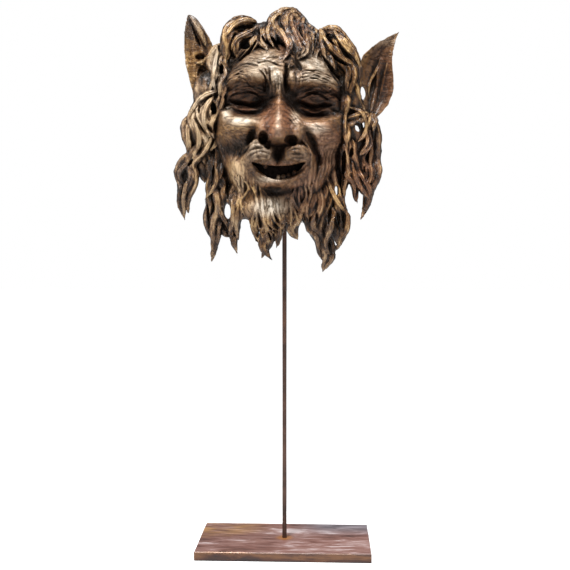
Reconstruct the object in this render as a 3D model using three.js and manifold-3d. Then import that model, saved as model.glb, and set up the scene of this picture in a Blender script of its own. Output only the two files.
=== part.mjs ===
import * as THREE from 'three';
import { mergeVertices } from 'three/addons/utils/BufferGeometryUtils.js';
import Module from 'manifold-3d';

// Satyr mask carved from one block of wood, held up by a rod on a steel plate.
// Millimetres, +Z up. The mask looks along -Y, and the origin is under the middle of the plate.

const wasm = await Module();
wasm.setup();

// Stand
const BASE_WIDTH = 230;
const BASE_DEPTH = 130;
const BASE_THICKNESS = 12;
const BASE_EDGE = 1;
const ROD_DIAMETER = 6;
const ROD_SIDES = 16;
const TOUCH_GAP = 0.3;

// Mask: places on it are x to the viewer's right, up from the middle of the nose, and out to the viewer
const MASK_HEIGHT = 550;
const MASK_TURN = THREE.MathUtils.degToRad( 2.5 );

// Head: a dome over a rounded outline, hollow behind
const HEAD = { x: - 6, up: 10, halfWidth: 98, rise: 140, drop: 112 };
const OUTLINE_POWER_ABOVE = 2.3;
const OUTLINE_POWER_BELOW = 1.8;
const RIM_OUT = - 30;
const CHIN_RIM_OUT = 14;
const CHIN_RIM_TOP = - 20;
const CHIN_RIM_BOTTOM = - 95;
const FACE_OUT = 74;
const DOME_POWER = 3.4;
const DOME_ROOT = 0.55;
const HOLLOW_SHARE = 0.83;
const HOLLOW_OUT = 42;
// Cuts through the head are closer together over the eyes, nose and mouth
const CUT_STEP = 12;
const FACE_CUT_STEP = 3.2;
const FACE_TOP = 92;
const FACE_BOTTOM = - 68;
const FACE_COLUMNS = 52;
// The columns crowd together toward the sides as they do round this much of a quarter circle
const COLUMN_SWEEP = Math.PI * 0.42;
const HOLLOW_COLUMNS = 8;

// Socket that takes the top of the rod, bored up into the crown from the hollow
const SOCKET_CUT = 200;
const ROD_TOP = MASK_HEIGHT + 134;

// Soft swellings and hollows of the face: x, up, half width, half height, how far out, firmness of the edge
const SWELLINGS = [
	[ - 50, 46, 32, 22, - 24, 3 ],
	[ 38, 43, 32, 21, - 24, 3 ],
	[ - 51, 52, 21, 10, 9, 2.2 ],
	[ 38, 48, 21, 10, 9, 2.2 ],
	[ - 56, 8, 30, 18, 8, 2 ],
	[ 48, 4, 28, 16, 8, 2 ],
	[ - 30, 7, 8, 10, 15, 2.4 ],
	[ 17, 4, 8, 11, 15, 2.4 ],
	[ - 9, 3, 12, 11, 9, 2.4 ],
	[ - 36, - 22, 22, 12, 10, 2.4 ],
	[ 16, - 24, 21, 11, 10, 2.4 ],
	[ - 8, - 22, 7, 11, - 13, 2 ],
	[ - 14, - 74, 24, 8, - 8, 2 ],
	[ - 64, - 14, 22, 13, - 13, 2.2 ],
	[ 56, - 18, 22, 14, - 13, 2.2 ],
	[ - 62, - 52, 14, 28, 10, 2 ],
	[ 42, - 62, 18, 24, 8, 2 ],
	[ - 24, 96, 32, 18, 6, 2 ],
	[ 36, 96, 24, 14, 5, 2 ],
	[ - 9, 72, 10, 15, 11, 2.4 ],
	[ 9, 71, 5, 10, 8, 2.4 ],
	[ - 41, 79, 9, 6, 4, 2 ],
];

// Ridges with one steep side: start x, up, end x, up, bow, half width above, below, how far out
const RIDGES = [
	[ - 84, 70, - 18, 71, 6, 12, 7, 17 ],
	[ 14, 69, 78, 62, 6, 12, 7, 17 ],
	[ - 80, 52, - 22, 48, 13, 6, 6, 6 ],
	[ 14, 47, 72, 46, 12, 6, 6, 6 ],
	[ - 90, 46, - 28, 24, - 13, 6, 16, 12 ],
	[ 16, 24, 84, 38, - 13, 6, 15, 11 ],
	[ - 57, - 25, - 16, - 17, 13, 3.2, 9, 7 ],
	[ - 2, - 20, 37, - 26, 8, 3.2, 9, 7 ],
	[ - 41, - 40, 28, - 40, - 18, 2.4, 5, 8 ],
];

// Carved strokes of the face: start x, up, end x, up, bow, half width, how far out
const STROKES = [
	[ - 72, 51, - 28, 46, - 5, 3, - 8 ],
	[ 17, 46, 60, 45, - 4, 3, - 8 ],
	[ - 68, 43, - 30, 39, - 5, 3, 5 ],
	[ 19, 38, 60, 39, - 5, 3, 5 ],
	[ 2, 92, 2, 58, 0, 4, - 10 ],
	[ - 37, 10, - 60, - 30, 2, 5, - 9 ],
	[ 27, 6, 44, - 46, 6, 5, - 10 ],
	[ - 36, - 64, 22, - 64, - 8, 4, - 4 ],
	[ - 64, 98, 0, 91, 4, 3, - 3 ],
	[ 16, 88, 70, 78, 4, 3, - 3 ],
];

const RIDGE_BEND = 0.65;
const RIDGE_END = 0.35;
const RIDGE_FADE = 2.6;
const RIDGE_FIRMNESS = 2.2;

// Nose: a ridge that widens from the bridge to the wings
const NOSE = {
	x: - 7,
	bridgeUp: 54,
	tipUp: - 6,
	bridgeHalf: 5,
	wingHalf: 28,
	flare: 0.95,
	ridgeNarrow: 4.5,
	ridgeWide: 12,
	wingShare: 0.42,
	wingPower: 1.9,
	risePower: 1.2,
	bridgeOut: 10,
	tipOut: 35,
	under: 7,
	top: 12,
};

// Mouth: a dark opening between two curves, and the lower teeth in it
const MOUTH = {
	left: - 42,
	leftUp: - 33,
	right: 28,
	rightUp: - 35,
	topUp: - 39,
	bottomUp: - 78,
	floorOut: 52,
	cut: 80,
	steps: 10,
};
const TEETH = [ [ - 8, - 54 ], [ - 1, - 53 ], [ 6, - 51 ], [ 13, - 47 ] ];
const TOOTH = { radius: 3.6, out: 64 };

// Pits drilled into the nostrils, the left ear and the hair: x, up, out, half width, half height, half depth
const PITS = [
	[ - 27.5, - 5, 95, 7.5, 9, 22 ],
	[ 9, - 8, 95, 9.5, 7.5, 22 ],
	[ - 114.5, 117, - 2, 7, 5, 7 ],
	[ - 112, 95, 0, 6.5, 10.5, 7 ],
	[ - 83, 92, 30, 4, 7, 14 ],
	[ - 52, 123, 44, 7, 6, 14 ],
	[ - 94, 40, 34, 4, 9, 12 ],
	[ - 12, 122, 64, 6, 8, 12 ],
	[ 19, 106, 70, 4, 9, 8 ],
	[ 64, 116, 44, 9, 5, 12 ],
	[ 80, 92, 44, 6, 14, 12 ],
	[ - 19, - 122, 62, 4, 7, 14 ],
	[ - 16, - 70, 64, 18, 6.5, 11 ],
	[ 62, - 98, 46, 6, 9, 9 ],
];

// Thick hair that the locks lie on, in rows like theirs
const HAIR_BED = [
	[ - 88, 96, 84, 100, 38, 0, 1, 34, 18, 18, 8 ],
	[ - 90, 96, - 106, - 34, - 8, 0, 1, 42, 18, 12, 0 ],
	[ 80, 92, 98, - 40, - 2, 0, 1, 38, 20, 12, 0 ],
	[ - 84, 22, - 88, - 104, 0, 0, 1, 36, 12, 10, 0 ],
	[ 78, 26, 66, - 92, 0, 0, 1, 36, 14, 12, 0 ],
	[ - 58, 126, - 100, - 40, - 24, 4, 2, 28, - 12, - 14, 0 ],
	[ 50, 126, 84, - 40, 17, 4, 2, 28, - 12, - 14, 0 ],
	[ - 66, 122, 56, 124, 17, 3, 2, 28, - 10, - 10, 0 ],
	[ - 12, 146, 26, 148, 14, 0, 1, 30, 8, 8, 0 ],
	[ 5, 176, 6, 118, 0, 0, 1, 38, 4, 26, 0 ],
	[ - 60, 132, 60, 130, 18, 0, 1, 26, 30, 30, 0 ],
];

// Hair and beard, one lock a row, a wavy ribbon that narrows to its tip:
// root x, up, tip x, up, bow, sway, waves, width, root out, tip out, arch
const CROWN_LOCKS = [
	[ - 38, 152, - 80, 100, - 18, - 4, 1, 24, 20, 34, 6 ],
	[ - 39, 143, - 62, 106, - 12, 0, 1, 17, 28, 36, 0 ],
	[ - 38, 137, - 76, 96, 7, 0, 1, 14, 40, 32, 0 ],
	[ - 86, 128, - 93, 54, - 3, 2, 2, 15, 18, 32, 4 ],
	[ - 78, 113, - 82, 51, 0, - 2, 2, 14, 30, 48, 0 ],
	[ - 66, 110, - 80, 83, 0, 0, 1, 12, 28, 32, 0 ],
	[ - 95, 97, - 121, 60, 6, 0, 1, 16, 20, 12, 0 ],
	[ - 90, 84, - 112, 52, 6, 0, 1, 15, 24, 18, 0 ],
	[ - 26, 156, - 22, 112, - 5, 0, 1, 15, 6, 54, 6 ],
	[ - 18, 154, - 26, 122, - 3, 0, 1, 13, 14, 46, 4 ],
	[ - 12, 154, - 14, 118, - 4, 0, 1, 13, 18, 54, 4 ],
	[ 10, 176, 2, 85, - 3, - 13, 1, 17, 10, 76, 4 ],
	[ 16, 174, 5, 92, 1, - 12, 1, 15, 8, 72, 2 ],
	[ 21, 170, 11, 98, 3, - 11, 1, 15, 6, 70, 0 ],
	[ 2, 176, - 4, 96, - 6, - 12, 1, 15, 12, 70, 2 ],
	[ 24, 168, 20, 100, 2, - 5, 1, 15, 6, 62, 0 ],
	[ 31, 161, 28, 104, - 3, 1, 1, 13, 4, 56, 0 ],
	[ 38, 156, 36, 106, - 3, 1, 1, 13, 0, 50, 2 ],
	[ 46, 147, 43, 104, - 3, 1, 1, 13, 2, 46, 4 ],
	[ 46, 144, 85, 80, - 13, 0, 1, 19, 18, 26, 10 ],
	[ 50, 145, 98, 50, 18, 0, 1, 20, 12, 14, 12 ],
	[ 62, 136, 96, 57, 10, 0, 1, 17, 20, 20, 8 ],
	[ 60, 126, 86, 48, 12, 0, 1, 17, 26, 30, 0 ],
	[ 52, 130, 76, 70, - 8, 2, 1, 16, 30, 36, 2 ],
	[ 88, 94, 109, 38, - 4, 0, 1, 15, 22, 20, 0 ],
];
const LEFT_LOCKS = [
	[ - 103, 63, - 127, - 29, - 13, 0, 1, 17, 12, 10, 0 ],
	[ - 110, 58, - 122, - 28, 3, - 10, 1, 17, 18, 18, 0 ],
	[ - 94, 57, - 107, - 13, - 5, - 7, 1, 15, 28, 24, 0 ],
	[ - 92, 52, - 100, - 16, 1, - 8, 1, 13, 36, 28, 0 ],
	[ - 84, 60, - 92, 0, - 4, 5, 1, 12, 42, 36, 0 ],
	[ - 104, 10, - 135, - 107, - 18, 0, 1, 22, 4, 6, 0 ],
	[ - 100, 14, - 130, - 97, - 10, 0, 1, 20, 8, 10, 0 ],
	[ - 98, 26, - 99, - 164, 2, - 4, 2, 18, 12, 12, 0 ],
	[ - 92, 8, - 107, - 81, 12, 0, 1, 14, 20, 26, 0 ],
	[ - 84, - 36, - 99, - 157, 5, 0, 1, 18, 22, 14, 0 ],
	[ - 84, 26, - 63, - 154, - 11, 0, 1, 16, 20, 20, 0 ],
	[ - 64, - 30, - 63, - 152, - 5, 2, 1, 17, 30, 24, 0 ],
	[ - 52, - 56, - 62, - 152, - 6, 5, 1, 17, 34, 24, 0 ],
	[ - 94, - 92, - 66, - 126, - 6, 0, 1, 24, 12, 10, 0 ],
];
const BEARD_LOCKS = [
	[ - 36, - 70, - 30, - 157, 7, - 5, 1, 18, 44, 40, 0 ],
	[ - 46, - 66, - 35, - 138, 3, 4, 1, 14, 40, 36, 0 ],
	[ - 22, - 74, - 16, - 160, - 5, 6, 1, 18, 50, 42, 0 ],
	[ - 10, - 78, - 22, - 150, 8, 4, 1, 16, 48, 38, 0 ],
	[ - 26, - 72, - 11, - 144, 6, - 4, 1, 16, 50, 40, 0 ],
	[ - 2, - 82, - 4, - 122, 4, 0, 1, 22, 44, 40, 0 ],
	[ 11, - 78, 17, - 133, - 2, 2, 1, 22, 42, 38, 0 ],
	[ 30, - 76, 28, - 106, 0, 0, 1, 26, 36, 36, 0 ],
];
const RIGHT_LOCKS = [
	[ 112, 36, 87, - 16, - 21, 0, 1, 15, 24, 28, 0 ],
	[ 118, 38, 99, - 22, 7, 0, 1, 15, 16, 22, 0 ],
	[ 116, 30, 108, - 26, 0, 3, 1, 16, 12, 12, 0 ],
	[ 116, 38, 103, - 106, 12, 0, 1, 19, 6, 8, 0 ],
	[ 92, 4, 106, - 98, 0, - 9, 1, 16, 22, 14, 0 ],
	[ 86, 6, 98, - 84, - 5, 0, 1, 16, 26, 18, 0 ],
	[ 104, 10, 111, - 80, 0, 0, 1, 18, 4, 6, 0 ],
	[ 76, 4, 78, - 86, 3, 0, 1, 15, 32, 20, 0 ],
	[ 58, - 24, 68, - 149, 10, - 6, 1, 17, 28, 26, 0 ],
	[ 50, - 30, 49, - 141, 6, 0, 1, 17, 32, 26, 0 ],
	[ 44, - 56, 53, - 162, - 9, 0, 1, 21, 38, 26, 0 ],
	[ 62, - 84, 51, - 176, 0, - 4, 1, 21, 34, 24, 0 ],
	[ 80, 62, 78, - 26, 0, 2, 2, 16, 30, 28, 0 ],
];

// The body of the beard: x, up, out, half width, half height, half depth
const BEARD_BODIES = [
	[ - 12, - 83, 28, 62, 28, 21 ],
	[ - 20, - 91, 36, 32, 19, 18 ],
];

const LOCK_DEPTH_SHARE = 0.85;
const LOCK_TIP_SHARE = 0.08;
const LOCK_ROOT_SHARE = 0.5;
const LOCK_ROOT_LENGTH = 0.18;
const LOCK_GAIN = 1.1;
// A lock is cut into more steps the longer it is and the more it bends
const LOCK_LENGTH_STEP = 50;
const LOCK_BOW_STEP = 9;
const LOCK_SWAY_STEP = 3;
const LOCK_LEAST_STEPS = 4;
const LOCK_LOOK = 0.01;
// One cut across a lock, with the groove that parts its two strands
const LOCK_SECTION = [ [ 1, - 0.4 ], [ 0.55, 0.9 ], [ 0, 0.4 ], [ - 0.55, 0.9 ], [ - 1, - 0.4 ] ];

// Openings cut right through between the locks: x, up, half width, half height, lean in degrees
const PIERCINGS = [
	[ 106, 66, 4, 10.5, 4 ],
	[ 98.5, 18, 3.4, 4.4, 0 ],
	[ 68.8, - 67.5, 2.8, 7, 0 ],
	[ - 76, - 94.5, 5, 10.5, - 6 ],
];
const PIERCING_SIDES = 10;
const PIERCING_DEPTH = 200;

// Ears: tip x, up, foot x, up, bow, sway, half width, tip out, foot out, fullness
const EARS = [
	[ - 130, 173, - 117, 56, 9, 0, 20, 2, 8, 0.9 ],
	[ 156, 150, 115, 30, - 12, - 5, 25, - 2, 6, 1.12 ],
];
const EAR_STEPS = 10;
const EAR_THICKNESS = 10;
const EAR_HOLLOW = 15;
const EAR_TIP_SHARE = 0.01;
const EAR_FOOT_SHARE = 0.94;

// A closed skin over a row of rings, each end closed by a fan about its middle.
// Every four-sided face is parted along its shorter diagonal.
function loft( sections ) {

	const count = sections[ 0 ].length;
	const last = ( sections.length - 1 ) * count;
	const middle = ( ring ) => {

		const sum = ring.reduce( ( total, p ) => total.add( p ), new THREE.Vector3() );
		return sum.divideScalar( count );

	};

	const points = [ ...sections.flat(), middle( sections[ 0 ] ), middle( sections.at( - 1 ) ) ];
	const index = [];
	for ( let j = 0; j < count; j ++ ) {

		const k = ( j + 1 ) % count;
		for ( let row = 0; row < last; row += count ) {

			const [ a, b, c, d ] = [ row + j, row + k, row + count + k, row + count + j ];
			const rising = points[ a ].distanceTo( points[ c ] ) < points[ b ].distanceTo( points[ d ] );
			index.push( ...( rising ? [ a, b, c, a, c, d ] : [ a, b, d, b, c, d ] ) );

		}

		index.push( last + count, k, j, last + count + 1, last + j, last + k );

	}

	const geometry = new THREE.BufferGeometry().setFromPoints( points );
	geometry.setIndex( index );
	return geometry;

}

// Edges shorter than these are drawn together in turn: length, least cosine of a facet's turn
const SHORT_EDGES = [
	[ 0.3, - 0.5 ],
	[ 1, 0.6 ],
	[ 2.4, 0.75 ],
	[ 2.4, 0.75 ],
	[ 14, 0.993 ],
	[ 14, 0.99 ],
];
const SMALLEST_FACET = 0.002;

const bell = ( r, firm = 2 ) => Math.exp( - ( r ** firm ) );
const mix = THREE.MathUtils.lerp;
const smooth = THREE.MathUtils.smoothstep;

// A point of the mask as x, up and out
function place( x, up, out ) {

	return new THREE.Vector3( x, - out, up );

}

// How high a stroke stands at a place: a bent line from a to b with soft sides and ends
function strokeHeight( x, up, [ ax, aUp, bx, bUp, bow, half, height ] ) {

	const length = Math.hypot( bx - ax, bUp - aUp );
	const dx = ( bx - ax ) / length;
	const dUp = ( bUp - aUp ) / length;
	const along = ( ( x - ax ) * dx + ( up - aUp ) * dUp ) / length;
	const across = ( up - aUp ) * dx - ( x - ax ) * dUp;
	const held = THREE.MathUtils.clamp( along, 0, 1 );
	const past = ( along - held ) * length;
	return height * bell( Math.hypot( across - bow * Math.sin( Math.PI * held ), past ) / half );

}

// The same for a ridge that falls off more steeply on one side, and dies away at its ends
function ridgeHeight( x, up, [ ax, aUp, bx, bUp, bow, above, below, height ] ) {

	const length = Math.hypot( bx - ax, bUp - aUp );
	const dx = ( bx - ax ) / length;
	const dUp = ( bUp - aUp ) / length;
	const along = ( ( x - ax ) * dx + ( up - aUp ) * dUp ) / length;
	const held = THREE.MathUtils.clamp( along, 0, 1 );
	const bent = bow * Math.max( 0, Math.sin( Math.PI * held ) ) ** RIDGE_BEND;
	const off = ( up - aUp ) * dx - ( x - ax ) * dUp - bent;
	const past = ( along - held ) * length / ( ( above + below ) / 2 );
	const fade = Math.min( 1, RIDGE_END + RIDGE_FADE * Math.min( held, 1 - held ) );
	return height * fade * bell( Math.hypot( off / ( off > 0 ? above : below ), past ), RIDGE_FIRMNESS );

}

function noseHeight( x, up ) {

	const down = ( NOSE.bridgeUp - up ) / ( NOSE.bridgeUp - NOSE.tipUp );
	const reach = THREE.MathUtils.clamp( down, 0, 1 );
	const spread = NOSE.bridgeHalf + NOSE.flare * Math.max( 0, NOSE.bridgeUp - up );
	const half = Math.min( NOSE.wingHalf, spread );
	const height = mix( NOSE.bridgeOut, NOSE.tipOut, Math.sin( Math.PI / 2 * reach ) ** NOSE.risePower );
	const wings = Math.max( 0, 1 - ( Math.abs( x - NOSE.x ) / half ) ** NOSE.wingPower );
	const ridge = bell( ( x - NOSE.x ) / mix( NOSE.ridgeNarrow, NOSE.ridgeWide, reach ) );
	const side = mix( ridge, wings, NOSE.wingShare );
	const below = smooth( up, NOSE.tipUp - NOSE.under, NOSE.tipUp );
	const above = 1 - smooth( up, NOSE.bridgeUp, NOSE.bridgeUp + NOSE.top );
	return height * side * below * above;

}

function carving( x, up ) {

	let height = noseHeight( x, up );
	for ( const [ cx, cUp, halfX, halfUp, out, firm ] of SWELLINGS ) {

		height += out * bell( Math.hypot( ( x - cx ) / halfX, ( up - cUp ) / halfUp ), firm );

	}

	for ( const stroke of STROKES ) height += strokeHeight( x, up, stroke );
	for ( const ridge of RIDGES ) height += ridgeHeight( x, up, ridge );
	return height;

}

// Half the head's width at a height, on the face or inside the hollow
function halfWidth( up, scale ) {

	const power = up > HEAD.up ? OUTLINE_POWER_ABOVE : OUTLINE_POWER_BELOW;
	const reach = ( up > HEAD.up ? HEAD.rise : HEAD.drop ) * scale;
	const share = Math.max( 0, 1 - ( Math.abs( up - HEAD.up ) / reach ) ** power );
	return HEAD.halfWidth * scale * share ** ( 1 / power );

}

function rimOut( up ) {

	return mix( CHIN_RIM_OUT, RIM_OUT, smooth( up, CHIN_RIM_BOTTOM, CHIN_RIM_TOP ) );

}

// How far out the dome stands over its rim, for the face or for the hollow
function domeOut( x, up, scale, top ) {

	const power = up > HEAD.up ? OUTLINE_POWER_ABOVE : OUTLINE_POWER_BELOW;
	const reach = ( up > HEAD.up ? HEAD.rise : HEAD.drop ) * scale;
	const wide = Math.abs( x - HEAD.x ) / ( HEAD.halfWidth * scale );
	const high = Math.abs( up - HEAD.up ) / reach;
	const share = Math.min( 1, ( wide ** power + high ** power ) ** ( 1 / power ) );
	const rim = rimOut( up );
	return rim + ( top - rim ) * ( 1 - share ** DOME_POWER ) ** DOME_ROOT;

}

function faceOut( x, up ) {

	const edge = Math.abs( x - HEAD.x ) / Math.max( 1, halfWidth( up, 1 ) );
	return domeOut( x, up, 1, FACE_OUT ) + carving( x, up ) * Math.max( 0, 1 - edge ** 8 );

}

// The head as one loft of level cuts, each round the face and back through the hollow
function headGeometry() {

	const sections = [];
	const top = HEAD.up + HEAD.rise - 1;
	let up = HEAD.up - HEAD.drop + 1;
	while ( up < top ) {

		const ring = [];
		for ( let i = 0; i <= FACE_COLUMNS; i ++ ) {

			const across = Math.sin( COLUMN_SWEEP * ( 2 * i / FACE_COLUMNS - 1 ) ) / Math.sin( COLUMN_SWEEP );
			const x = HEAD.x + halfWidth( up, 1 ) * across;
			ring.push( place( x, up, faceOut( x, up ) ) );

		}

		for ( let i = HOLLOW_COLUMNS; i >= 0; i -- ) {

			const inner = Math.max( halfWidth( up, HOLLOW_SHARE ), halfWidth( up, 1 ) / 2 );
			const x = HEAD.x + inner * ( 2 * i / HOLLOW_COLUMNS - 1 );
			ring.push( place( x, up, domeOut( x, up, HOLLOW_SHARE, HOLLOW_OUT ) ) );

		}

		sections.push( ring );
		up += up > FACE_BOTTOM && up < FACE_TOP ? FACE_CUT_STEP : CUT_STEP;

	}

	return loft( sections );

}

function lockGeometry( [ ax, aUp, bx, bUp, bow, sway, waves, width, aOut, bOut, arch ] ) {

	const length = Math.hypot( bx - ax, bUp - aUp, bOut - aOut );
	const sideX = - ( bUp - aUp ) / Math.hypot( bx - ax, bUp - aUp );
	const sideUp = ( bx - ax ) / Math.hypot( bx - ax, bUp - aUp );
	const at = ( t ) => {

		const aside = bow * Math.sin( Math.PI * t ) + sway * Math.sin( 2 * Math.PI * waves * t );
		const raised = arch * Math.sin( Math.PI * Math.sqrt( t ) );
		const x = mix( ax, bx, t ) + aside * sideX;
		const up = mix( aUp, bUp, t ) + aside * sideUp + raised;
		return place( x, up, mix( aOut, bOut, t ) );

	};

	const turning = Math.abs( bow ) / LOCK_BOW_STEP + waves * Math.abs( sway ) / LOCK_SWAY_STEP;
	const steps = Math.round( length / LOCK_LENGTH_STEP + turning ) + LOCK_LEAST_STEPS;
	const sections = [];
	for ( let i = 0; i <= steps; i ++ ) {

		const t = i / steps;
		const before = at( Math.max( 0, t - LOCK_LOOK ) );
		const along = at( Math.min( 1, t + LOCK_LOOK ) ).sub( before ).normalize();
		const across = new THREE.Vector3( 0, - 1, 0 ).cross( along ).normalize();
		const outward = along.clone().cross( across );
		const rooted = mix( LOCK_ROOT_SHARE, 1, Math.min( 1, t / LOCK_ROOT_LENGTH ) );
		const half = LOCK_GAIN * width / 2 * rooted * Math.max( LOCK_TIP_SHARE, ( 1 - t ** 4 ) ** 0.9 );
		sections.push( LOCK_SECTION.map( ( [ b, c ] ) => at( t )
			.addScaledVector( across, b * half )
			.addScaledVector( outward, c * half * LOCK_DEPTH_SHARE ) ) );

	}

	return loft( sections );

}

// A pointed ear: a leaf, hollowed on its front
function earGeometry( [ tipX, tipUp, footX, footUp, bow, sway, wide, tipOut, footOut, full ] ) {

	const length = Math.hypot( footX - tipX, footUp - tipUp );
	const sideX = - ( footUp - tipUp ) / length;
	const sideUp = ( footX - tipX ) / length;
	const sections = [];
	for ( let i = 0; i <= EAR_STEPS; i ++ ) {

		const t = i / EAR_STEPS;
		const spread = Math.sin( Math.PI * mix( EAR_TIP_SHARE, EAR_FOOT_SHARE, t ) ** full );
		const half = wide * spread;
		const middle = bow * Math.sin( Math.PI * t ) + sway * Math.sin( 2 * Math.PI * t );
		const point = ( b, back ) => {

			const aside = middle + b * half;
			const sunk = EAR_HOLLOW * spread * ( 1 - b * b );
			const thick = back * EAR_THICKNESS * spread ** 0.5;
			return place( mix( tipX, footX, t ) + aside * sideX, mix( tipUp, footUp, t ) + aside * sideUp,
				mix( tipOut, footOut, t ) + EAR_HOLLOW / 2 - sunk - thick );

		};

		const front = [ - 1, - 0.6, 0, 0.6, 1 ].map( ( b ) => point( b, 0 ) );
		const rear = [ 0.9, 0, - 0.9 ].map( ( b ) => point( b, 1 ) );
		sections.push( [ ...front, ...rear ] );

	}

	return loft( sections );

}

// A closed geometry as a solid, turned the right way out
function solid( geometry ) {

	geometry.deleteAttribute( 'normal' );
	geometry.deleteAttribute( 'uv' );
	const merged = mergeVertices( geometry, 1e-4 );
	const vertProperties = new Float32Array( merged.attributes.position.array );
	const triVerts = new Uint32Array( merged.index.array );
	const made = new wasm.Manifold( new wasm.Mesh( { numProp: 3, vertProperties, triVerts } ) );
	if ( made.volume() > 0 ) return made;
	for ( let i = 0; i < triVerts.length; i += 3 ) {

		[ triVerts[ i ], triVerts[ i + 1 ] ] = [ triVerts[ i + 1 ], triVerts[ i ] ];

	}

	return new wasm.Manifold( new wasm.Mesh( { numProp: 3, vertProperties, triVerts } ) );

}

// The triangles round each point, kept up to date while edges are drawn together
function trianglesAround( triangles, count ) {

	const around = Array.from( { length: count }, () => new Set() );
	triangles.forEach( ( triangle, k ) => triangle.forEach( ( v ) => around[ v ].add( k ) ) );
	return around;

}

// Whether point a can move onto point b without folding the skin or pinching it
function canJoin( points, triangles, around, a, b, fold ) {

	const neighbours = ( v ) => new Set( [ ...around[ v ] ].flatMap( ( k ) => triangles[ k ] ) );
	const ofB = neighbours( b );
	const shared = [ ...neighbours( a ) ].filter( ( v ) => ofB.has( v ) && v !== a && v !== b );
	if ( shared.length !== 2 ) return false;
	for ( const k of around[ a ] ) {

		if ( triangles[ k ].includes( b ) ) continue;
		const before = normalOf( triangles[ k ].map( ( v ) => points[ v ] ) );
		const after = normalOf( triangles[ k ].map( ( v ) => points[ v === a ? b : v ] ) );
		if ( after.length() < SMALLEST_FACET ) return false;
		if ( before.normalize().dot( after.normalize() ) < fold ) return false;

	}

	return true;

}

function normalOf( [ a, b, c ] ) {

	return b.clone().sub( a ).cross( c.clone().sub( a ) );

}

// Draws short edges together, because a carver's facets don't meet in slivers
function drawShortEdges( points, triangles, limit, fold ) {

	const around = trianglesAround( triangles, points.length );
	for ( let k = 0; k < triangles.length; k ++ ) {

		for ( let side = 0; triangles[ k ] && side < 6; side ++ ) {

			const a = triangles[ k ][ side % 3 ];
			const b = triangles[ k ][ ( side + ( side < 3 ? 1 : 2 ) ) % 3 ];
			if ( points[ a ].distanceTo( points[ b ] ) > limit ) continue;
			if ( ! canJoin( points, triangles, around, a, b, fold ) ) continue;
			for ( const t of [ ...around[ a ] ] ) {

				if ( triangles[ t ].includes( b ) ) {

					triangles[ t ].forEach( ( v ) => around[ v ].delete( t ) );
					triangles[ t ] = null;

				} else {

					triangles[ t ] = triangles[ t ].map( ( v ) => v === a ? b : v );
					around[ b ].add( t );

				}

			}

			around[ a ].clear();

		}

	}

	return triangles.filter( ( triangle ) => triangle );

}

// The largest connected skin: what is left out are bubbles closed in by the locks
function largestSkin( triangles, count ) {

	const around = trianglesAround( triangles, count );
	const seen = new Set();
	let largest = [];
	for ( let start = 0; start < triangles.length; start ++ ) {

		if ( seen.has( start ) ) continue;
		const skin = [ start ];
		seen.add( start );
		for ( const k of skin ) {

			for ( const next of triangles[ k ].flatMap( ( v ) => [ ...around[ v ] ] ) ) {

				if ( ! seen.has( next ) ) skin.push( next );
				seen.add( next );

			}

		}

		if ( skin.length > largest.length ) largest = skin;

	}

	return largest.map( ( k ) => triangles[ k ] );

}

function geometryOf( made ) {

	const mesh = made.getMesh();
	const geometry = new THREE.BufferGeometry();
	geometry.setAttribute( 'position', new THREE.BufferAttribute( mesh.vertProperties, 3 ) );
	geometry.setIndex( new THREE.BufferAttribute( mesh.triVerts, 1 ) );
	geometry.computeVertexNormals();
	return geometry;

}

// The solid's largest skin, without slivers
function tidied( made ) {

	const mesh = made.getMesh();
	const points = [];
	for ( let i = 0; i < mesh.vertProperties.length; i += 3 ) {

		points.push( new THREE.Vector3( ...mesh.vertProperties.subarray( i, i + 3 ) ) );

	}

	let triangles = [];
	for ( let i = 0; i < mesh.triVerts.length; i += 3 ) {

		triangles.push( [ ...mesh.triVerts.subarray( i, i + 3 ) ] );

	}

	triangles = largestSkin( triangles, points.length );
	for ( const [ limit, fold ] of SHORT_EDGES ) {

		triangles = drawShortEdges( points, triangles, limit, fold );

	}

	return new THREE.BufferGeometry().setFromPoints( triangles.flat().map( ( v ) => points[ v ] ) );

}

function mouthSolid() {

	const middle = ( MOUTH.left + MOUTH.right ) / 2;
	const shape = new THREE.Shape();
	shape.moveTo( MOUTH.left, MOUTH.leftUp );
	shape.quadraticCurveTo( middle, MOUTH.bottomUp, MOUTH.right, MOUTH.rightUp );
	shape.quadraticCurveTo( middle, MOUTH.topUp, MOUTH.left, MOUTH.leftUp );
	const geometry = new THREE.ExtrudeGeometry( shape, {
		depth: MOUTH.cut,
		bevelEnabled: false,
		curveSegments: MOUTH.steps,
	} );
	geometry.rotateX( Math.PI / 2 );
	geometry.translate( 0, - MOUTH.floorOut, 0 );
	return solid( geometry );

}

function ballSolid( x, up, out, halfX, halfUp, halfOut ) {

	const geometry = new THREE.SphereGeometry( 1, 8, 4 );
	geometry.scale( halfX, halfOut, halfUp );
	const centre = place( x, up, out );
	geometry.translate( centre.x, centre.y, centre.z );
	return solid( geometry );

}

// A leaf-shaped cutter that goes through the mask from front to back
function piercingSolid( [ x, up, halfX, halfUp, lean ] ) {

	const geometry = new THREE.CylinderGeometry( 1, 1, PIERCING_DEPTH, PIERCING_SIDES );
	geometry.scale( halfX, 1, halfUp );
	geometry.rotateY( THREE.MathUtils.degToRad( lean ) );
	const centre = place( x, up, 0 );
	geometry.translate( centre.x, centre.y, centre.z );
	return solid( geometry );

}

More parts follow.
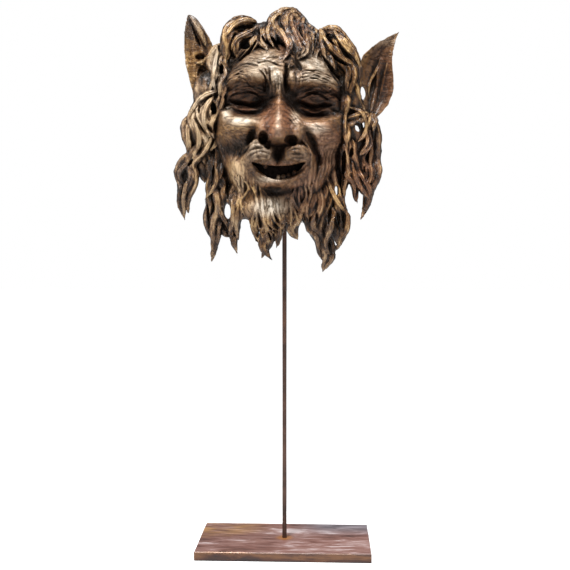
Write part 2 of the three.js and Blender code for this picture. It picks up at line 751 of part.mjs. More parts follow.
function maskGeometry() {

	let mask = solid( headGeometry() );
	mask = mask.subtract( mouthSolid() );
	for ( const [ x, up ] of TEETH ) {

		mask = mask.add( ballSolid( x, up, TOOTH.out, TOOTH.radius, TOOTH.radius * 1.4, TOOTH.radius ) );

	}

	for ( const row of BEARD_BODIES ) mask = mask.add( ballSolid( ...row ) );
	for ( const row of EARS ) mask = mask.add( solid( earGeometry( row ) ) );
	for ( const row of [ ...HAIR_BED, ...CROWN_LOCKS, ...LEFT_LOCKS, ...BEARD_LOCKS, ...RIGHT_LOCKS ] ) {

		mask = mask.add( solid( lockGeometry( row ) ) );

	}

	for ( const row of PITS ) mask = mask.subtract( ballSolid( ...row ) );
	for ( const row of PIERCINGS ) mask = mask.subtract( piercingSolid( row ) );
	const socketTop = ROD_TOP + TOUCH_GAP - MASK_HEIGHT;
	const radius = ROD_DIAMETER / 2 + TOUCH_GAP;
	const socket = new THREE.CylinderGeometry( radius, radius, SOCKET_CUT, ROD_SIDES );
	socket.rotateX( Math.PI / 2 );
	socket.translate( 0, 0, socketTop - SOCKET_CUT / 2 );
	return geometryOf( solid( tidied( mask ) ).subtract( solid( socket ) ) );

}

const parts = new THREE.Group();

const wood = new THREE.MeshStandardMaterial( { color: 0x5a3d25, roughness: 0.45, metalness: 0 } );
const mask = new THREE.Mesh( maskGeometry(), wood );
mask.name = 'mask';
mask.position.z = MASK_HEIGHT;
mask.rotation.z = MASK_TURN;
parts.add( mask );

const rodBottom = BASE_THICKNESS + TOUCH_GAP;
const rodRadius = ROD_DIAMETER / 2;
const rodGeometry = new THREE.CylinderGeometry( rodRadius, rodRadius, ROD_TOP - rodBottom, ROD_SIDES );
rodGeometry.rotateX( Math.PI / 2 );
const steel = new THREE.MeshStandardMaterial( { color: 0x3a2a22, roughness: 0.5, metalness: 0.8 } );
const rod = new THREE.Mesh( rodGeometry, steel );
rod.name = 'rod';
rod.position.z = ( ROD_TOP + rodBottom ) / 2;
parts.add( rod );

const halfWide = BASE_WIDTH / 2 - BASE_EDGE;
const halfDeep = BASE_DEPTH / 2 - BASE_EDGE;
const corners = [ [ - 1, - 1 ], [ 1, - 1 ], [ 1, 1 ], [ - 1, 1 ] ]
	.map( ( [ x, y ] ) => new THREE.Vector2( x * halfWide, y * halfDeep ) );
const plate = new THREE.Shape( corners );
const baseGeometry = new THREE.ExtrudeGeometry( plate, {
	depth: BASE_THICKNESS - 2 * BASE_EDGE,
	bevelSize: BASE_EDGE,
	bevelThickness: BASE_EDGE,
	bevelSegments: 1,
} );
baseGeometry.translate( 0, 0, BASE_EDGE );
const rusted = new THREE.MeshStandardMaterial( { color: 0x5b3022, roughness: 0.4, metalness: 0.6 } );
const base = new THREE.Mesh( baseGeometry, rusted );
base.name = 'base';
parts.add( base );

export default parts;
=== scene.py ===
import math

import bpy
import numpy as np
import openvdb
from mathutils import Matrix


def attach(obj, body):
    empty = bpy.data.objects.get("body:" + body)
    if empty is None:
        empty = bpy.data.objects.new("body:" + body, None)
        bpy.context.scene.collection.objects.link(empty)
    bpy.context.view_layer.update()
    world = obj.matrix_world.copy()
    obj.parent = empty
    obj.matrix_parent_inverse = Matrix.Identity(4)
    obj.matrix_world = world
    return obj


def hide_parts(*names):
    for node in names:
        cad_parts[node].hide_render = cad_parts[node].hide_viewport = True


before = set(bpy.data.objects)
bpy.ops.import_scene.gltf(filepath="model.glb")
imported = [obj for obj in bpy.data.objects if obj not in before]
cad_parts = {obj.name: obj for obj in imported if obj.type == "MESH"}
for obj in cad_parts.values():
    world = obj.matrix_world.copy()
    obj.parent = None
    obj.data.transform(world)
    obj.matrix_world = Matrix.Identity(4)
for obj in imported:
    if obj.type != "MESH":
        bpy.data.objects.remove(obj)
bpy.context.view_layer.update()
scene = bpy.context.scene

# Places on the mask, in millimetres: x to the viewer's right, up from the nose, out to the viewer
MASK_HEIGHT = 550
MASK_TURN = math.radians(2.5)
HEAD_X, HEAD_UP, HEAD_HALF, HEAD_RISE, HEAD_DROP = -6, 10, 98, 140, 112
POWER_ABOVE, POWER_BELOW = 2.3, 1.8
RIM_OUT, CHIN_OUT, CHIN_HIGH, CHIN_LOW = -30, 14, -20, -95
RIM_FADE, RIM_DROP = 8, 3
FACE_OUT, DOME_POWER, DOME_ROOT = 74, 3.4, 0.55
HOLLOW_SHARE, HOLLOW_OUT = 0.83, 42

# Gouge cuts all over the face and the hollow: size, depth
FACE_CUTS = (5, 0.35)
HOLLOW_CUTS = (7, 1.0)
CUT_ACROSS, CUT_UP, CUT_SWAY, CUT_SWAY_LENGTH = 0.9, 0.3, 3, 17
CROSS_SHARE, CROSS_SLANT, CROSS_SIZE = 0.6, 0.4, 2.3

# The block that is carved, as cubes of this size between two corners
STEP = 0.95
BLOCK_LOW = (-158, -184, -50)
BLOCK_HIGH = (162, 187, 124)
FAR = 5.0
MOST_TRIANGLES = 190000

# Broad swellings and hollows: x, up, half width, half height, out, firmness of the edge
SWELLINGS = [
    [-50, 46, 32, 22, -24, 3], [38, 43, 32, 21, -24, 3], [-51, 52, 21, 10, 9, 2.2],
    [38, 48, 21, 10, 9, 2.2], [-56, 8, 30, 18, 8, 2], [48, 4, 28, 16, 8, 2], [-30, 7, 8, 10, 15, 2.4],
    [17, 4, 8, 11, 15, 2.4], [-9, 3, 12, 11, 9, 2.4], [-36, -22, 22, 12, 10, 2.4],
    [16, -24, 21, 11, 10, 2.4], [-8, -22, 7, 11, -13, 2], [-14, -74, 24, 8, -8, 2],
    [-64, -14, 22, 13, -13, 2.2], [56, -18, 22, 14, -13, 2.2], [-62, -52, 14, 28, 10, 2],
    [42, -62, 18, 24, 8, 2], [-24, 96, 32, 18, 6, 2], [36, 96, 24, 14, 5, 2], [-9, 72, 10, 15, 11, 2.4],
    [9, 71, 5, 10, 8, 2.4], [-41, 79, 9, 6, 4, 2],
]

# Ridges with one steep side: start x, up, end x, up, bow, half width above, below, out
RIDGES = [
    [-84, 70, -18, 71, 6, 12, 7, 17], [14, 69, 78, 62, 6, 12, 7, 17], [-80, 52, -22, 48, 13, 6, 6, 6],
    [14, 47, 72, 46, 12, 6, 6, 6], [-90, 46, -28, 24, -13, 6, 16, 12], [16, 24, 84, 38, -13, 6, 15, 11],
    [-57, -25, -16, -17, 13, 3.2, 9, 7], [-2, -20, 37, -26, 8, 3.2, 9, 7],
    [-41, -40, 28, -40, -18, 2.4, 5, 8],
]
RIDGE_ARC, RIDGE_FIRM = 0.65, 2.2

# Carved strokes: start x, up, end x, up, bow, half width, out
STROKES = [
    [-72, 51, -28, 46, -5, 2, -8], [17, 46, 60, 45, -4, 2, -8], [-71, 54, -29, 50, 8, 1.4, -3],
    [18, 50, 60, 49, 8, 1.4, -3], [-68, 43, -30, 39, -5, 2.4, 5], [19, 38, 60, 39, -5, 2.4, 5],
    [-66, 37, -32, 33, -5, 1.4, -3], [20, 32, 58, 33, -4, 1.4, -3], [-62, 32, -30, 29, -4, 1.8, 2.5],
    [22, 27, 60, 28, -4, 1.8, 2.5], [2, 92, 2, 58, 0, 2.4, -11], [-37, 10, -60, -30, 2, 4, -9],
    [27, 6, 44, -46, 6, 4, -10], [22, -4, 35, -38, 5, 1.5, 5], [-36, -64, 22, -64, -8, 3, -4],
    [-28, 101, -4, 100, 2, 1.3, -2.4], [-36, 96, -2, 89, 3, 1.4, -3], [24, 84, 54, 81, 2, 1.3, -2],
    [-9, 46, -9, 14, 0, 3, 3], [-20, 47, -4, 50, 3, 1.4, -3], [62, 40, 76, 34, 0, 1.3, -2.5],
    [62, 34, 76, 24, 0, 1.3, -2.5], [-82, 46, -72, 44, 0, 1.3, -2.5], [-84, 36, -73, 38, 0, 1.3, -2.5],
]
STROKE_WAVER, STROKE_PERIOD = 0.8, 4.5
LINE_END, LINE_GAIN = 0.35, 2.6

# Rows of like strokes side by side: the first one, the last one, how many
FANS = [
    [[-20, -14, -54, -20, -9, 1.9, 4], [-15, -29, -44, -32, -1, 1.9, 3], 5],
    [[0, -17, 34, -24, 8, 1.9, 4], [-2, -30, 30, -33, 1, 1.9, 3], 5],
    [[-38, 90, -25, 58, 3, 1.3, -2.6], [-20, 86, -16, 60, 1, 1.3, -2.2], 6],
    [[14, 80, 11, 60, 2, 1.3, -2.2], [24, 82, 22, 64, 1, 1.3, -2.2], 3],
    [[-82, 68, -40, 66, 10, 1.2, -3.4], [-72, 90, -30, 90, 5, 1.2, -2.6], 8],
    [[-62, 68, -46, 68, 7, 1.1, -3], [-66, 76, -42, 76, 9, 1.1, -3], 4],
    [[-54, 94, -30, 86, 5, 1.2, -1.8], [-50, 102, -26, 98, 3, 1.2, -1.4], 3],
    [[18, 70, 70, 66, 4, 1.2, -3.6], [24, 86, 66, 80, 2, 1.2, -3], 7],
    [[56, 52, 76, 46, 6, 1.3, -3.2], [54, 66, 78, 62, 6, 1.3, -3.2], 5],
    [[-30, 84, -24, 62, 2, 1.3, -2.6], [-16, 88, -12, 60, -1, 1.3, -1.8], 4],
    [[52, 60, 76, 50, 4, 1.5, -3.4], [50, 70, 78, 62, 4, 1.5, -3], 3],
    [[-74, 54, -28, 50, 9, 1.1, -2], [-82, 66, -22, 64, 8, 1.1, -2], 6],
    [[20, 50, 64, 48, 8, 1.1, -2], [16, 62, 72, 58, 8, 1.1, -2], 6],
    [[-20, 80, -16, 52, 1, 1.2, -2.4], [4, 80, 6, 54, 1, 1.2, -2.4], 6],
    [[-84, 28, -38, 14, -6, 1.1, -1.2], [-78, 8, -40, -4, -6, 1.1, -1.2], 5],
    [[26, 14, 76, 18, -6, 1.1, -1.2], [30, -6, 72, -4, -6, 1.1, -1.2], 5],
    [[-6, 40, -30, 12, -2, 1.2, -1.2], [-8, 20, -22, 0, -2, 1.2, -1.2], 3],
    [[0, 44, 22, 16, 2, 1.3, -2.4], [0, 22, 18, 4, 2, 1.3, -2.4], 4],
    [[-64, 40, -32, 33, -5, 1, -1.4], [-62, 34, -34, 29, -4, 1, -1.4], 3],
    [[22, 33, 56, 33, -4, 1, -1.4], [24, 26, 54, 26, -4, 1, -1.4], 4],
    [[-88, 4, -78, -62, 4, 1.6, -2.4], [-56, -10, -50, -66, -4, 1.6, -2.4], 9],
    [[46, -14, 36, -74, -4, 1.6, -2.4], [80, 0, 66, -66, 4, 1.6, -2.4], 9],
    [[-52, -44, -54, -78, 3, 1.6, -2.2], [-34, -58, -40, -80, 3, 1.6, -2.2], 5],
    [[12, -62, 18, -92, -3, 1.6, -2.2], [40, -44, 44, -90, -3, 1.6, -2.2], 7],
]

NOSE_X, BRIDGE_UP, TIP_UP = -7, 54, -6
BRIDGE_HALF, WING_HALF, NOSE_FLARE, BRIDGE_OUT, TIP_OUT = 5, 28, 0.95, 10, 35
NOSE_UNDER, NOSE_TOP = 7, 12
RIDGE_NARROW, RIDGE_WIDE = 4.5, 12
NOSE_BODY, NOSE_FULLNESS, NOSE_RIDGE, NOSE_RISE = 0.42, 1.9, 0.58, 1.2

MOUTH_LEFT, MOUTH_RIGHT, MOUTH_UP = -43, 28, -33
LIP_SAG, CHIN_SAG, MOUTH_FLOOR, MOUTH_SLOPE = 5, 23, 52, 0.85
TEETH = [[-24, -37], [-8, -54], [-1, -53], [6, -51], [13, -47]]
TOOTH_HALF, TOOTH_HIGH, TOOTH_OUT, TOOTH_FILLET = 3.4, 4.4, 64, 1.5

# Pits drilled between forms: x, up, out, half width, half height, half depth
PITS = [
    [-27.5, -5, 95, 7.5, 9, 22], [-21, -13, 92, 6, 7, 16], [9, -8, 95, 9.5, 7.5, 22],
    [-114.5, 117, -2, 7, 5, 7], [-112, 95, 0, 6.5, 10.5, 7], [-83, 92, 30, 4, 7, 14],
    [-52, 123, 44, 7, 6, 14], [-94, 40, 34, 4, 9, 12], [-12, 122, 64, 6, 8, 12], [19, 106, 70, 4, 9, 8],
    [64, 116, 44, 9, 5, 12], [80, 92, 44, 6, 14, 12], [-19, -122, 62, 4, 7, 14],
    [-16, -70, 64, 18, 6.5, 11], [62, -98, 46, 6, 9, 9],
]

# Grooves cut into the surface: start x, up, end x, up, (bow), width, depth
GOUGES = [
    [58, 119, 86, 97, -2, 6, 12], [50, 110, 77, 76, -2, 6, 12], [-69, 131, -71, 107, 5, 8],
    [-83, 99, -82, 86, 6, 12], [-93, 48, -91, 31, 6, 10], [-113, 47, -114, 34, 4, 6],
    [-102, 20, -94, 7, 5, 8], [-123, -24, -130, -34, 4, 6], [-77, -53, -75, -80, 4.5, 12],
    [-94, -33, -97, -64, 4.5, 8], [-103, -84, -101, -122, 5, 7], [-70, -113, -65, -130, 4, 6],
    [-22, -120, -17, -137, 5, 9], [42, -97, 43, -115, 5, 5], [61, -90, 58, -115, 6, 8],
    [70, -96, 73, -115, 5, 7], [79, -16, 78, -48, 7, 12], [74, -57, 78, -80, 4, 8],
    [107, -34, 109, -57, 5, 8], [115, 19, 123, -13, 4.5, 7], [90, -10, 87, -26, 6, 10],
    [17, 161, 18, 131, 3.5, 7], [27, 154, 27, 127, 3.5, 7], [42, 144, 39, 118, 4, 7],
    [-30, 136, -23, 120, 4.5, 8], [-18, 134, -6, 114, 6, 12], [8, 112, 22, 86, 12, 7],
    [-35, 131, -70, 97, 4, 5, 8], [-125, 156, -113, 126, 4, 4], [124, 95, 119, 64, 8, 5],
]
GOUGE_LIFT, GOUGE_REACH = 0.25, 1.25

# Single strands laid on the surface: start x, up, end x, up, bow, (sway), width
TENDRILS = [
    [90, -30, 113, -77, -5, 9], [57, -56, 82, -98, -3, 8], [82, -95, 77, -131, 4, 9],
    [63, -108, 59, -152, -5, 2, 9], [82, 38, 83, -10, -4, 7], [87, 42, 109, 22, 6, 7],
    [109, 25, 98, -2, 4, 7], [-95, 56, -98, 3, -10, 8], [-89, 64, -124, 38, -6, 9],
    [-121, 27, -124, -24, 9, 8], [-97, 3, -116, -24, 3, 7], [-90, -40, -102, -74, 5, 7],
    [-131, -56, -135, -100, -3, 7], [-38, 158, -78, 134, -10, 9], [-38, 150, -70, 118, -4, 2, 8],
    [50, 142, 90, 99, -6, 8], [66, 147, 96, 110, -3, 8], [74, 139, 101, 99, 3, 8],
    [-90, 127, -89, 60, -4, 2, 7], [-83, 80, -85, 56, 0, 5], [-128, 170, -106, 130, 3, 10],
    [-120, 108, -98, 111, 0, 5], [131, 114, 116, 60, -4, 2, 5], [140, 108, 129, 57, 0, 4],
    [-70, -80, -74, -126, 4, 8], [-59, -86, -61, -133, -4, 7],
]
# Fine strands side by side in the beard: the first one, the last one, how many
STRAND_FANS = [
    [[-66, -50, -66, -120, 3, 3, 5], [-52, -58, -48, -94, -3, 3, 5], 5],
    [[-44, -62, -30, -138, -3, 3, 5], [-14, -74, 6, -112, -5, 3, 4.5], 9],
    [[4, -78, 8, -120, 3, -3, 4.5], [36, -56, 32, -108, -3, 3, 5], 7],
]
TENDRIL_SINK, FAN_SINK, TENDRIL_RISE = 0.12, 0.2, 0.5

# Shades on the front of the mask: x, up, half width, half height, strength
PAINT = {
    # Painted shade: darkens the eye sockets, the mouth, under the lower lip and between the locks
    "dark": [
        [-48, 53, 32, 16, 0.68], [-40, 36, 25, 12, 0.56], [34, 50, 30, 16, 0.6], [34, 34, 24, 12, 0.36],
        [-26, 48, 14, 15, 1], [14, -24, 20, 9, 0.32], [112, -40, 18, 66, 0.32], [102, -58, 18, 34, 0.4],
        [-108, 84, 10, 14, 0.6], [70, -108, 20, 36, 0.4], [-4, 146, 30, 22, 0.2], [10, 48, 12, 15, 1],
        [-6, 66, 12, 12, 0.6], [-8, -22, 8, 10, 1], [-22, -8, 8, 8, 0.8], [-64, -16, 24, 13, 0.55],
        [-58, 1, 24, 8, 0.35], [64, 8, 14, 16, 0.35], [-20, -142, 40, 26, 0.45], [-108, 30, 8, 14, 0.5],
        [-16, -70, 20, 8, 0.5], [80, 60, 9, 42, 0.7], [13, 102, 12, 22, 0.9], [-64, 126, 16, 14, 0.5],
        [76, -106, 14, 30, 0.5], [-17, 127, 12, 8, 0.7], [68, 98, 16, 20, 0.8], [88, 84, 12, 28, 0.75],
        [98, -60, 24, 34, 0.35], [-100, 50, 8, 10, 0.6], [80, -30, 10, 30, 0.5], [-92, -33, 10, 26, 0.5],
        [-8, -46, 34, 10, 1], [-60, 118, 12, 22, 0.5], [66, 112, 14, 12, 0.6], [78, -36, 12, 24, 0.5],
        [-136, -66, 14, 24, 0.4], [132, 90, 22, 50, 0.6], [-86, -140, 30, 30, 0.45],
        [58, -132, 32, 44, 0.45],
    ],
    # Painted highlights on the forehead, brows, cheeks, nose, lips and beard, and painted light on shaded
    # sides of the face and hair
    "pale": [
        [-26, 94, 34, 22, 0.7], [42, 78, 36, 10, 0.65], [62, -18, 16, 16, 0.35], [6, 81, 5, 8, 0.8],
        [40, 96, 24, 18, 1], [-52, 19, 20, 7, 1], [-75, 33, 7, 12, 1], [40, 8, 18, 8, 0.7],
        [14, 24, 7, 16, 0.8], [-9, 74, 10, 16, 0.9], [-18, -55, 20, 5, 0.8], [-40, -14, 18, 8, 0.6],
        [-20, -90, 26, 13, 1], [-92, 90, 8, 40, 0.7], [-34, -20, 22, 11, 0.5], [16, -24, 18, 10, 0.2],
        [-112, 24, 20, 60, 0.5], [-62, -50, 12, 30, 0.35], [-8, 14, 4, 16, 0.5], [140, 136, 18, 5, 0.4],
    ],
    "red": [
        [-9, 16, 28, 30, 1], [46, 8, 24, 15, 0.8], [-48, 36, 18, 6, 0.7], [-48, 52, 30, 18, 0.5],
        [36, 48, 30, 18, 0.5], [62, -20, 26, 34, 0.9], [20, 144, 12, 24, 0.5], [102, -48, 24, 60, 0.6],
        [38, 36, 20, 8, 0.9], [66, 54, 14, 12, 0.6], [30, -70, 26, 34, 0.7], [-6, -38, 26, 5, 0.5],
        [142, 86, 22, 46, 0.4], [0, 110, 8, 26, 0.6], [-7, -60, 26, 6, 0.5],
    ],
    "ochre": [
        [-66, 6, 26, 10, 0.8], [-62, -50, 16, 34, 1], [-46, -74, 22, 26, 1], [-124, 92, 14, 54, 1],
        [68, -78, 13, 24, 0.9], [90, -6, 11, 56, 0.8], [-14, -108, 18, 18, 0.5], [-110, 14, 22, 60, 0.9],
        [-80, 130, 20, 34, 0.6], [74, 118, 30, 40, 0.6], [92, 70, 10, 26, 0.8], [113, 98, 9, 26, 0.8],
        [100, 24, 14, 16, 0.8],
    ],
    "grey": [
        [-136, -62, 18, 36, 0.25], [-88, -132, 32, 42, 0.25], [50, -140, 26, 36, 0.25],
        [-124, 160, 12, 26, 0.7],
    ],
}
PAINT_FIRM, PAINT_FRONT, PAINT_SIDE = 3, 1.5, 0.4

# Thick hair under the locks, in rows like theirs
HAIR_BED = [
    [-88, 96, 84, 100, 38, 34, 18, 18, 0, 8], [-90, 96, -106, -34, -8, 42, 18, 12],
    [80, 92, 98, -40, -2, 38, 20, 12], [-84, 22, -88, -104, 0, 36, 12, 10],
    [78, 26, 66, -92, 0, 36, 14, 12], [-58, 126, -100, -40, -24, 28, -12, -14, 4, 0, 2],
    [50, 126, 84, -40, 17, 28, -12, -14, 4, 0, 2], [-66, 122, 56, 124, 17, 28, -10, -10, 3, 0, 2],
    [-12, 146, 26, 148, 14, 30, 8, 8], [6, 172, 6, 118, 0, 32, -5, 18], [-60, 132, 60, 130, 18, 24, 23, 23],
    [44, 138, 86, 108, 5, 24, 4, 10], [73, -84, 71, -140, 0, 21, 10, 6], [-106, -8, -109, -56, 0, 20, 4, 2],
]
# Hair and beard: root x, up, tip x, up, bow, width, root out, tip out, (sway, arch, waves)
LOCKS = [
    [-38, 152, -80, 100, -18, 24, 20, 34, -4, 6], [-39, 143, -62, 106, -12, 17, 28, 36],
    [-38, 137, -76, 96, 7, 14, 40, 32], [-86, 128, -93, 54, -3, 15, 18, 32, 2, 4, 2],
    [-78, 113, -82, 51, 0, 14, 30, 48, -2, 0, 2], [-66, 110, -80, 83, 0, 12, 28, 32],
    [-95, 97, -121, 60, 6, 16, 20, 12], [-90, 84, -112, 52, 6, 15, 24, 18],
    [-26, 156, -22, 112, -5, 15, 6, 54, 0, 6], [-18, 154, -26, 122, -3, 13, 14, 46, 0, 4],
    [-12, 154, -14, 118, -4, 13, 18, 54, 0, 4], [10, 176, 2, 85, -3, 17, 10, 76, -13, 4],
    [16, 174, 5, 92, 1, 15, 8, 72, -12, 2], [21, 170, 11, 98, 3, 15, 6, 70, -11],
    [2, 176, -4, 96, -6, 15, 12, 70, -12, 2], [24, 168, 20, 100, 2, 15, 6, 62, -5],
    [31, 161, 28, 104, -3, 13, 4, 56, 1], [38, 156, 36, 106, -3, 13, 0, 50, 1, 2],
    [46, 147, 43, 104, -3, 13, 2, 46, 1, 4], [46, 144, 85, 80, -13, 19, 18, 26, 0, 10],
    [50, 145, 98, 50, 18, 20, 12, 14, 0, 12], [62, 136, 96, 57, 10, 17, 20, 20, 0, 8],
    [60, 126, 86, 48, 12, 17, 26, 30], [52, 130, 76, 70, -8, 16, 30, 36, 2, 2],
    [88, 94, 109, 38, -4, 15, 22, 20], [-103, 63, -127, -29, -13, 17, 12, 10],
    [-110, 58, -122, -28, 3, 17, 18, 18, -10], [-94, 57, -107, -13, -5, 15, 28, 24, -7],
    [-92, 52, -100, -16, 1, 13, 36, 28, -8], [-84, 60, -92, 0, -4, 12, 42, 36, 5],
    [-104, 10, -135, -107, -18, 22, 4, 6], [-100, 14, -130, -97, -10, 20, 8, 10],
    [-98, 26, -99, -164, 2, 18, 12, 12, -4, 0, 2], [-92, 8, -107, -81, 12, 14, 20, 26],
    [-84, -36, -99, -157, 5, 18, 22, 14], [-84, 26, -63, -154, -11, 16, 20, 20],
    [-64, -30, -63, -152, -5, 17, 30, 24, 2], [-52, -56, -62, -152, -6, 17, 34, 24, 5],
    [-94, -92, -66, -126, -6, 24, 12, 10], [112, 36, 87, -16, -21, 15, 24, 28],
    [118, 38, 99, -22, 7, 15, 16, 22], [116, 30, 108, -26, 0, 16, 12, 12, 3],
    [116, 38, 103, -106, 12, 19, 6, 8], [92, 4, 106, -98, 0, 16, 22, 14, -9],
    [86, 6, 98, -84, -5, 16, 26, 18], [104, 10, 111, -80, 0, 18, 4, 6], [76, 4, 78, -86, 3, 15, 32, 20],
    [58, -24, 68, -149, 10, 17, 28, 26, -6], [50, -30, 49, -141, 6, 17, 32, 26],
    [44, -56, 53, -162, -9, 21, 38, 26], [62, -84, 51, -176, 0, 21, 34, 24, -4],
    [80, 62, 78, -26, 0, 16, 30, 28, 2, 0, 2], [-2, 176, 50, 136, 4, 15, 2, 8, 2],
]
# Number of the first lock: the number gives a lock its waves
FIRST_LOCK = 12
BEARD_LOCKS = [
    [-36, -70, -30, -157, 7, 18, 44, 40, -5], [-46, -66, -35, -138, 3, 14, 40, 36, 4],
    [-22, -74, -16, -160, -5, 18, 50, 42, 6], [-10, -78, -22, -150, 8, 16, 48, 38, 4],
    [-26, -72, -11, -144, 6, 16, 50, 40, -4], [-2, -82, -4, -122, 4, 22, 44, 40],
    [11, -78, 17, -133, -2, 22, 42, 38, 2], [30, -76, 28, -106, 0, 26, 36, 36],
]
# The body of the beard: centre, then half sizes
BEARD_BODIES = [
    [(-12, -83, 28), (62, 28, 21)],
    [(-20, -91, 36), (32, 19, 18)],
]
BEARD_FILLET = 8
# Openings cut right through between the locks: x, up, half width, half height, lean in degrees
PIERCINGS = [
    [106, 66, 4, 10.5, 4], [98, 18, 4.4, 6.4, 0], [68.8, -67.5, 2.8, 7, 0], [-76, -94.5, 5, 10.5, -6],
]

# Ears: tip x, up, foot x, up, bow, sway, half width, tip out, foot out, fullness
EARS = [
    [-130, 173, -117, 56, 9, 0, 20, 2, 8, 0.9],
    [156, 150, 115, 30, -12, -5, 25, -2, 6, 1.12],
]
EAR_THICKNESS, EAR_HOLLOW, EAR_FILLET = 11, 15, 1.2
EAR_RIDGE, EAR_RIDGE_WIDE, RIDGE_SHIFT = 5, 0.16, 0.15
FLUTE_DEPTH, FLUTES = 0.8, 6.5

# Paths of the locks
PATH_STEP, PATH_EXTRA = 2, 8
HEAVE, HEAVE_LENGTH, HEAVE_SHIFT = 3, 50, 1.7
SWING, SWING_LENGTH = 2.6, 52
ROOT_WIDTH, ROOT_SHARE, ROOT_SINK = 0.42, 0.16, 5.0
BEARD_ROOT, BEARD_SINK = 0.45, 12
# Body of a lock under its strands, as shares of its half width
LOCK_GAIN, LOCK_TIP = 1.08, 0.06
LOCK_FRONT, LOCK_BACK = 0.64, 0.36
CORE_SHARE, BEARD_CORE = 0.84, 0.96
CORE_SLOPE = 0.8
# Strands of a lock
STRAND_WIDTH, BEARD_STRAND_WIDTH = 8.4, 4.5
STRAND_WAVE, WAVE_LENGTH = 0.55, 58
STRAND_SPREAD, STRAND_OUT = 0.66, 0.42
STRAND_LEAST, STRAND_SHARED = 0.2, 0.58
UNEVEN_LEAST, UNEVEN_MORE = 0.72, 0.62
THREADS, THREAD_DEPTH, THREAD_TWIST, THREAD_SHIFT = 8, 0.34, 0.05, 9
# Fibres run from -1 to 1 round this value across a strand, and are 0 on bare wood
FIBRE_BASE, FIBRE_MOST = 3, 1.3
STRAND_FILLET = 0.7
# Strands and grooves that follow the surface
SURFACE_REACH, EVENED = 2, 2
LOWEST_STRAND = -15
TAPER_LEAST, TAPER_START, TAPER_END, TAPER_POWER = 0.12, 0.08, 0.97, 0.6
# Room round a form in the block
MARGIN, PATH_MARGIN = 3, 2.5

# Unevenness left by the hand: size of the patches, depth
HAND_MARKS = [[9, 0.9], [4.5, 0.8], [2.6, 0.4]]
# Wood round a place: name, radius, height over the surface where it is read
# The material reads these to darken crowded places: patina, and painted shade in the recesses
CROWDING = [("crevice", 2.4, 1.5), ("hollow", 9, 5)]

# Noises of the wood: scale, detail, roughness, stretch, distortion
WOOD_NOISES = {
    "patches": (16, 5, 0.6),
    "blotch": (38, 4, 0.6),
    "gloss": (45, 4, 0.6),
    "speckle": (330, 3, 0.7),
    "mottle": (95, 5, 0.65, (1.3, 1.3, 0.6)),
    "grain": (60, 6, 0.65, (2.4, 2.4, 0.35), 0.6),
    "level": (46, 6, 0.62, (0.55, 0.55, 1.9), 1.3),
    "upright": (52, 6, 0.62, (1.9, 1.9, 0.45), 0.9),
    "chisel": (210, 4, 0.6, (1.3, 1.3, 0.6), 0.8),
}
# Colours of the wood from dark to light
WOOD_COLOURS = [
    (0.00, (0.007, 0.004, 0.002)), (0.25, (0.028, 0.013, 0.006)),
    (0.5, (0.085, 0.04, 0.016)), (0.75, (0.2, 0.104, 0.04)),
    (1.00, (0.42, 0.27, 0.13)),
]
# Colours of the shades: low, middle and high tone
SHADE_TONES = (0.1, 0.55, 1.0)
SHADES = {
    "grey": [(0.01, 0.008, 0.007), (0.105, 0.078, 0.064), (0.33, 0.265, 0.22)],
    "ochre": [(0.012, 0.006, 0.002), (0.165, 0.07, 0.018), (0.66, 0.4, 0.15)],
    "red": [(0.017, 0.007, 0.004), (0.23, 0.092, 0.042), (0.6, 0.315, 0.175)],
    # The pale colours are those of the painted highlights and painted light
    "pale": [(0.02, 0.013, 0.009), (0.24, 0.175, 0.115), (0.72, 0.62, 0.5)],
}
ROD_DARK, ROD_LIGHT, ROD_RUST = (0.036, 0.018, 0.013), (0.09, 0.042, 0.028), (0.125, 0.056, 0.03)
BASE_COLOURS = [
    (0.36, (0.055, 0.022, 0.018)), (0.46, (0.215, 0.092, 0.07)),
    (0.54, (0.35, 0.195, 0.17)), (0.62, (0.74, 0.62, 0.61)),
]
BASE_WARM = [(0.38, (0.14, 0.06, 0.02)), (0.58, (0.56, 0.3, 0.12))]
BASE_COOL = [(0.4, (0.045, 0.036, 0.044)), (0.6, (0.36, 0.31, 0.34))]
BASE_FOOT = (0.42, 0.17, 0.05)
BASE_EDGE = [
    (0.3, (0.024, 0.016, 0.016)), (0.55, (0.072, 0.029, 0.018)),
    (0.78, (0.17, 0.078, 0.036)), (1.00, (0.08, 0.036, 0.024)),
]

# Camera, in metres and in pixels of the photograph
CAMERA_DISTANCE, CAMERA_HEIGHT, SENSOR = 1.269, 0.4035, 36
FOCAL_PIXELS, FRAME_PIXELS, HORIZON_PIXEL, AXIS_PIXEL = 931.8, 570, 250, 284.5
# Lamps: name, place, size, power
LAMPS = [
    ("key", (-0.4, -0.98, 2.1), (0.45, 0.45), 56),
    ("over", (0.45, -0.25, 2.2), (0.7, 0.7), 20),
    ("fill", (1.4, -1.2, 0.8), (1.2, 1.2), 8),
    ("left", (-1.5, -0.2, 1.1), (0.6, 1.4), 8),
]
LAMPS_AIM = (0, 0, 0.55)
SEEN_WHITE, ROOM_LIGHT = 1, 0.24
FLOOR_CORNERS = [(-6, -4, 0), (6, -4, 0), (6, 8, 0), (-6, 8, 0)]
GLOW_NEAR, GLOW_FAR, GLOW_LEAST = 0.2, 1.6, 0.55


def mix(a, b, share):
    return a + (b - a) * share


def smooth(value, low, high):
    share = np.clip((value - low) / (high - low), 0, 1)
    return share * share * (3 - 2 * share)


def scatter(value, spread=97):
    """A number from 0 to 1 that jumps about as the value grows."""
    return spread * abs(math.sin(value)) % 1


def new_object(name, data):
    made = bpy.data.objects.new(name, data)
    scene.collection.objects.link(made)
    return made


# The block: distances from the carved surface, below zero inside the wood
counts = [int((high - low) / STEP) + 1 for low, high in zip(BLOCK_LOW, BLOCK_HIGH)]
xs, ups, outs = [low + STEP * np.arange(n, dtype=np.float32) for low, n in zip(BLOCK_LOW, counts)]
field = np.full(counts, FAR, np.float32)
tones = np.full(counts, 0.5, np.float32)
fibres = np.zeros(counts, np.float32)


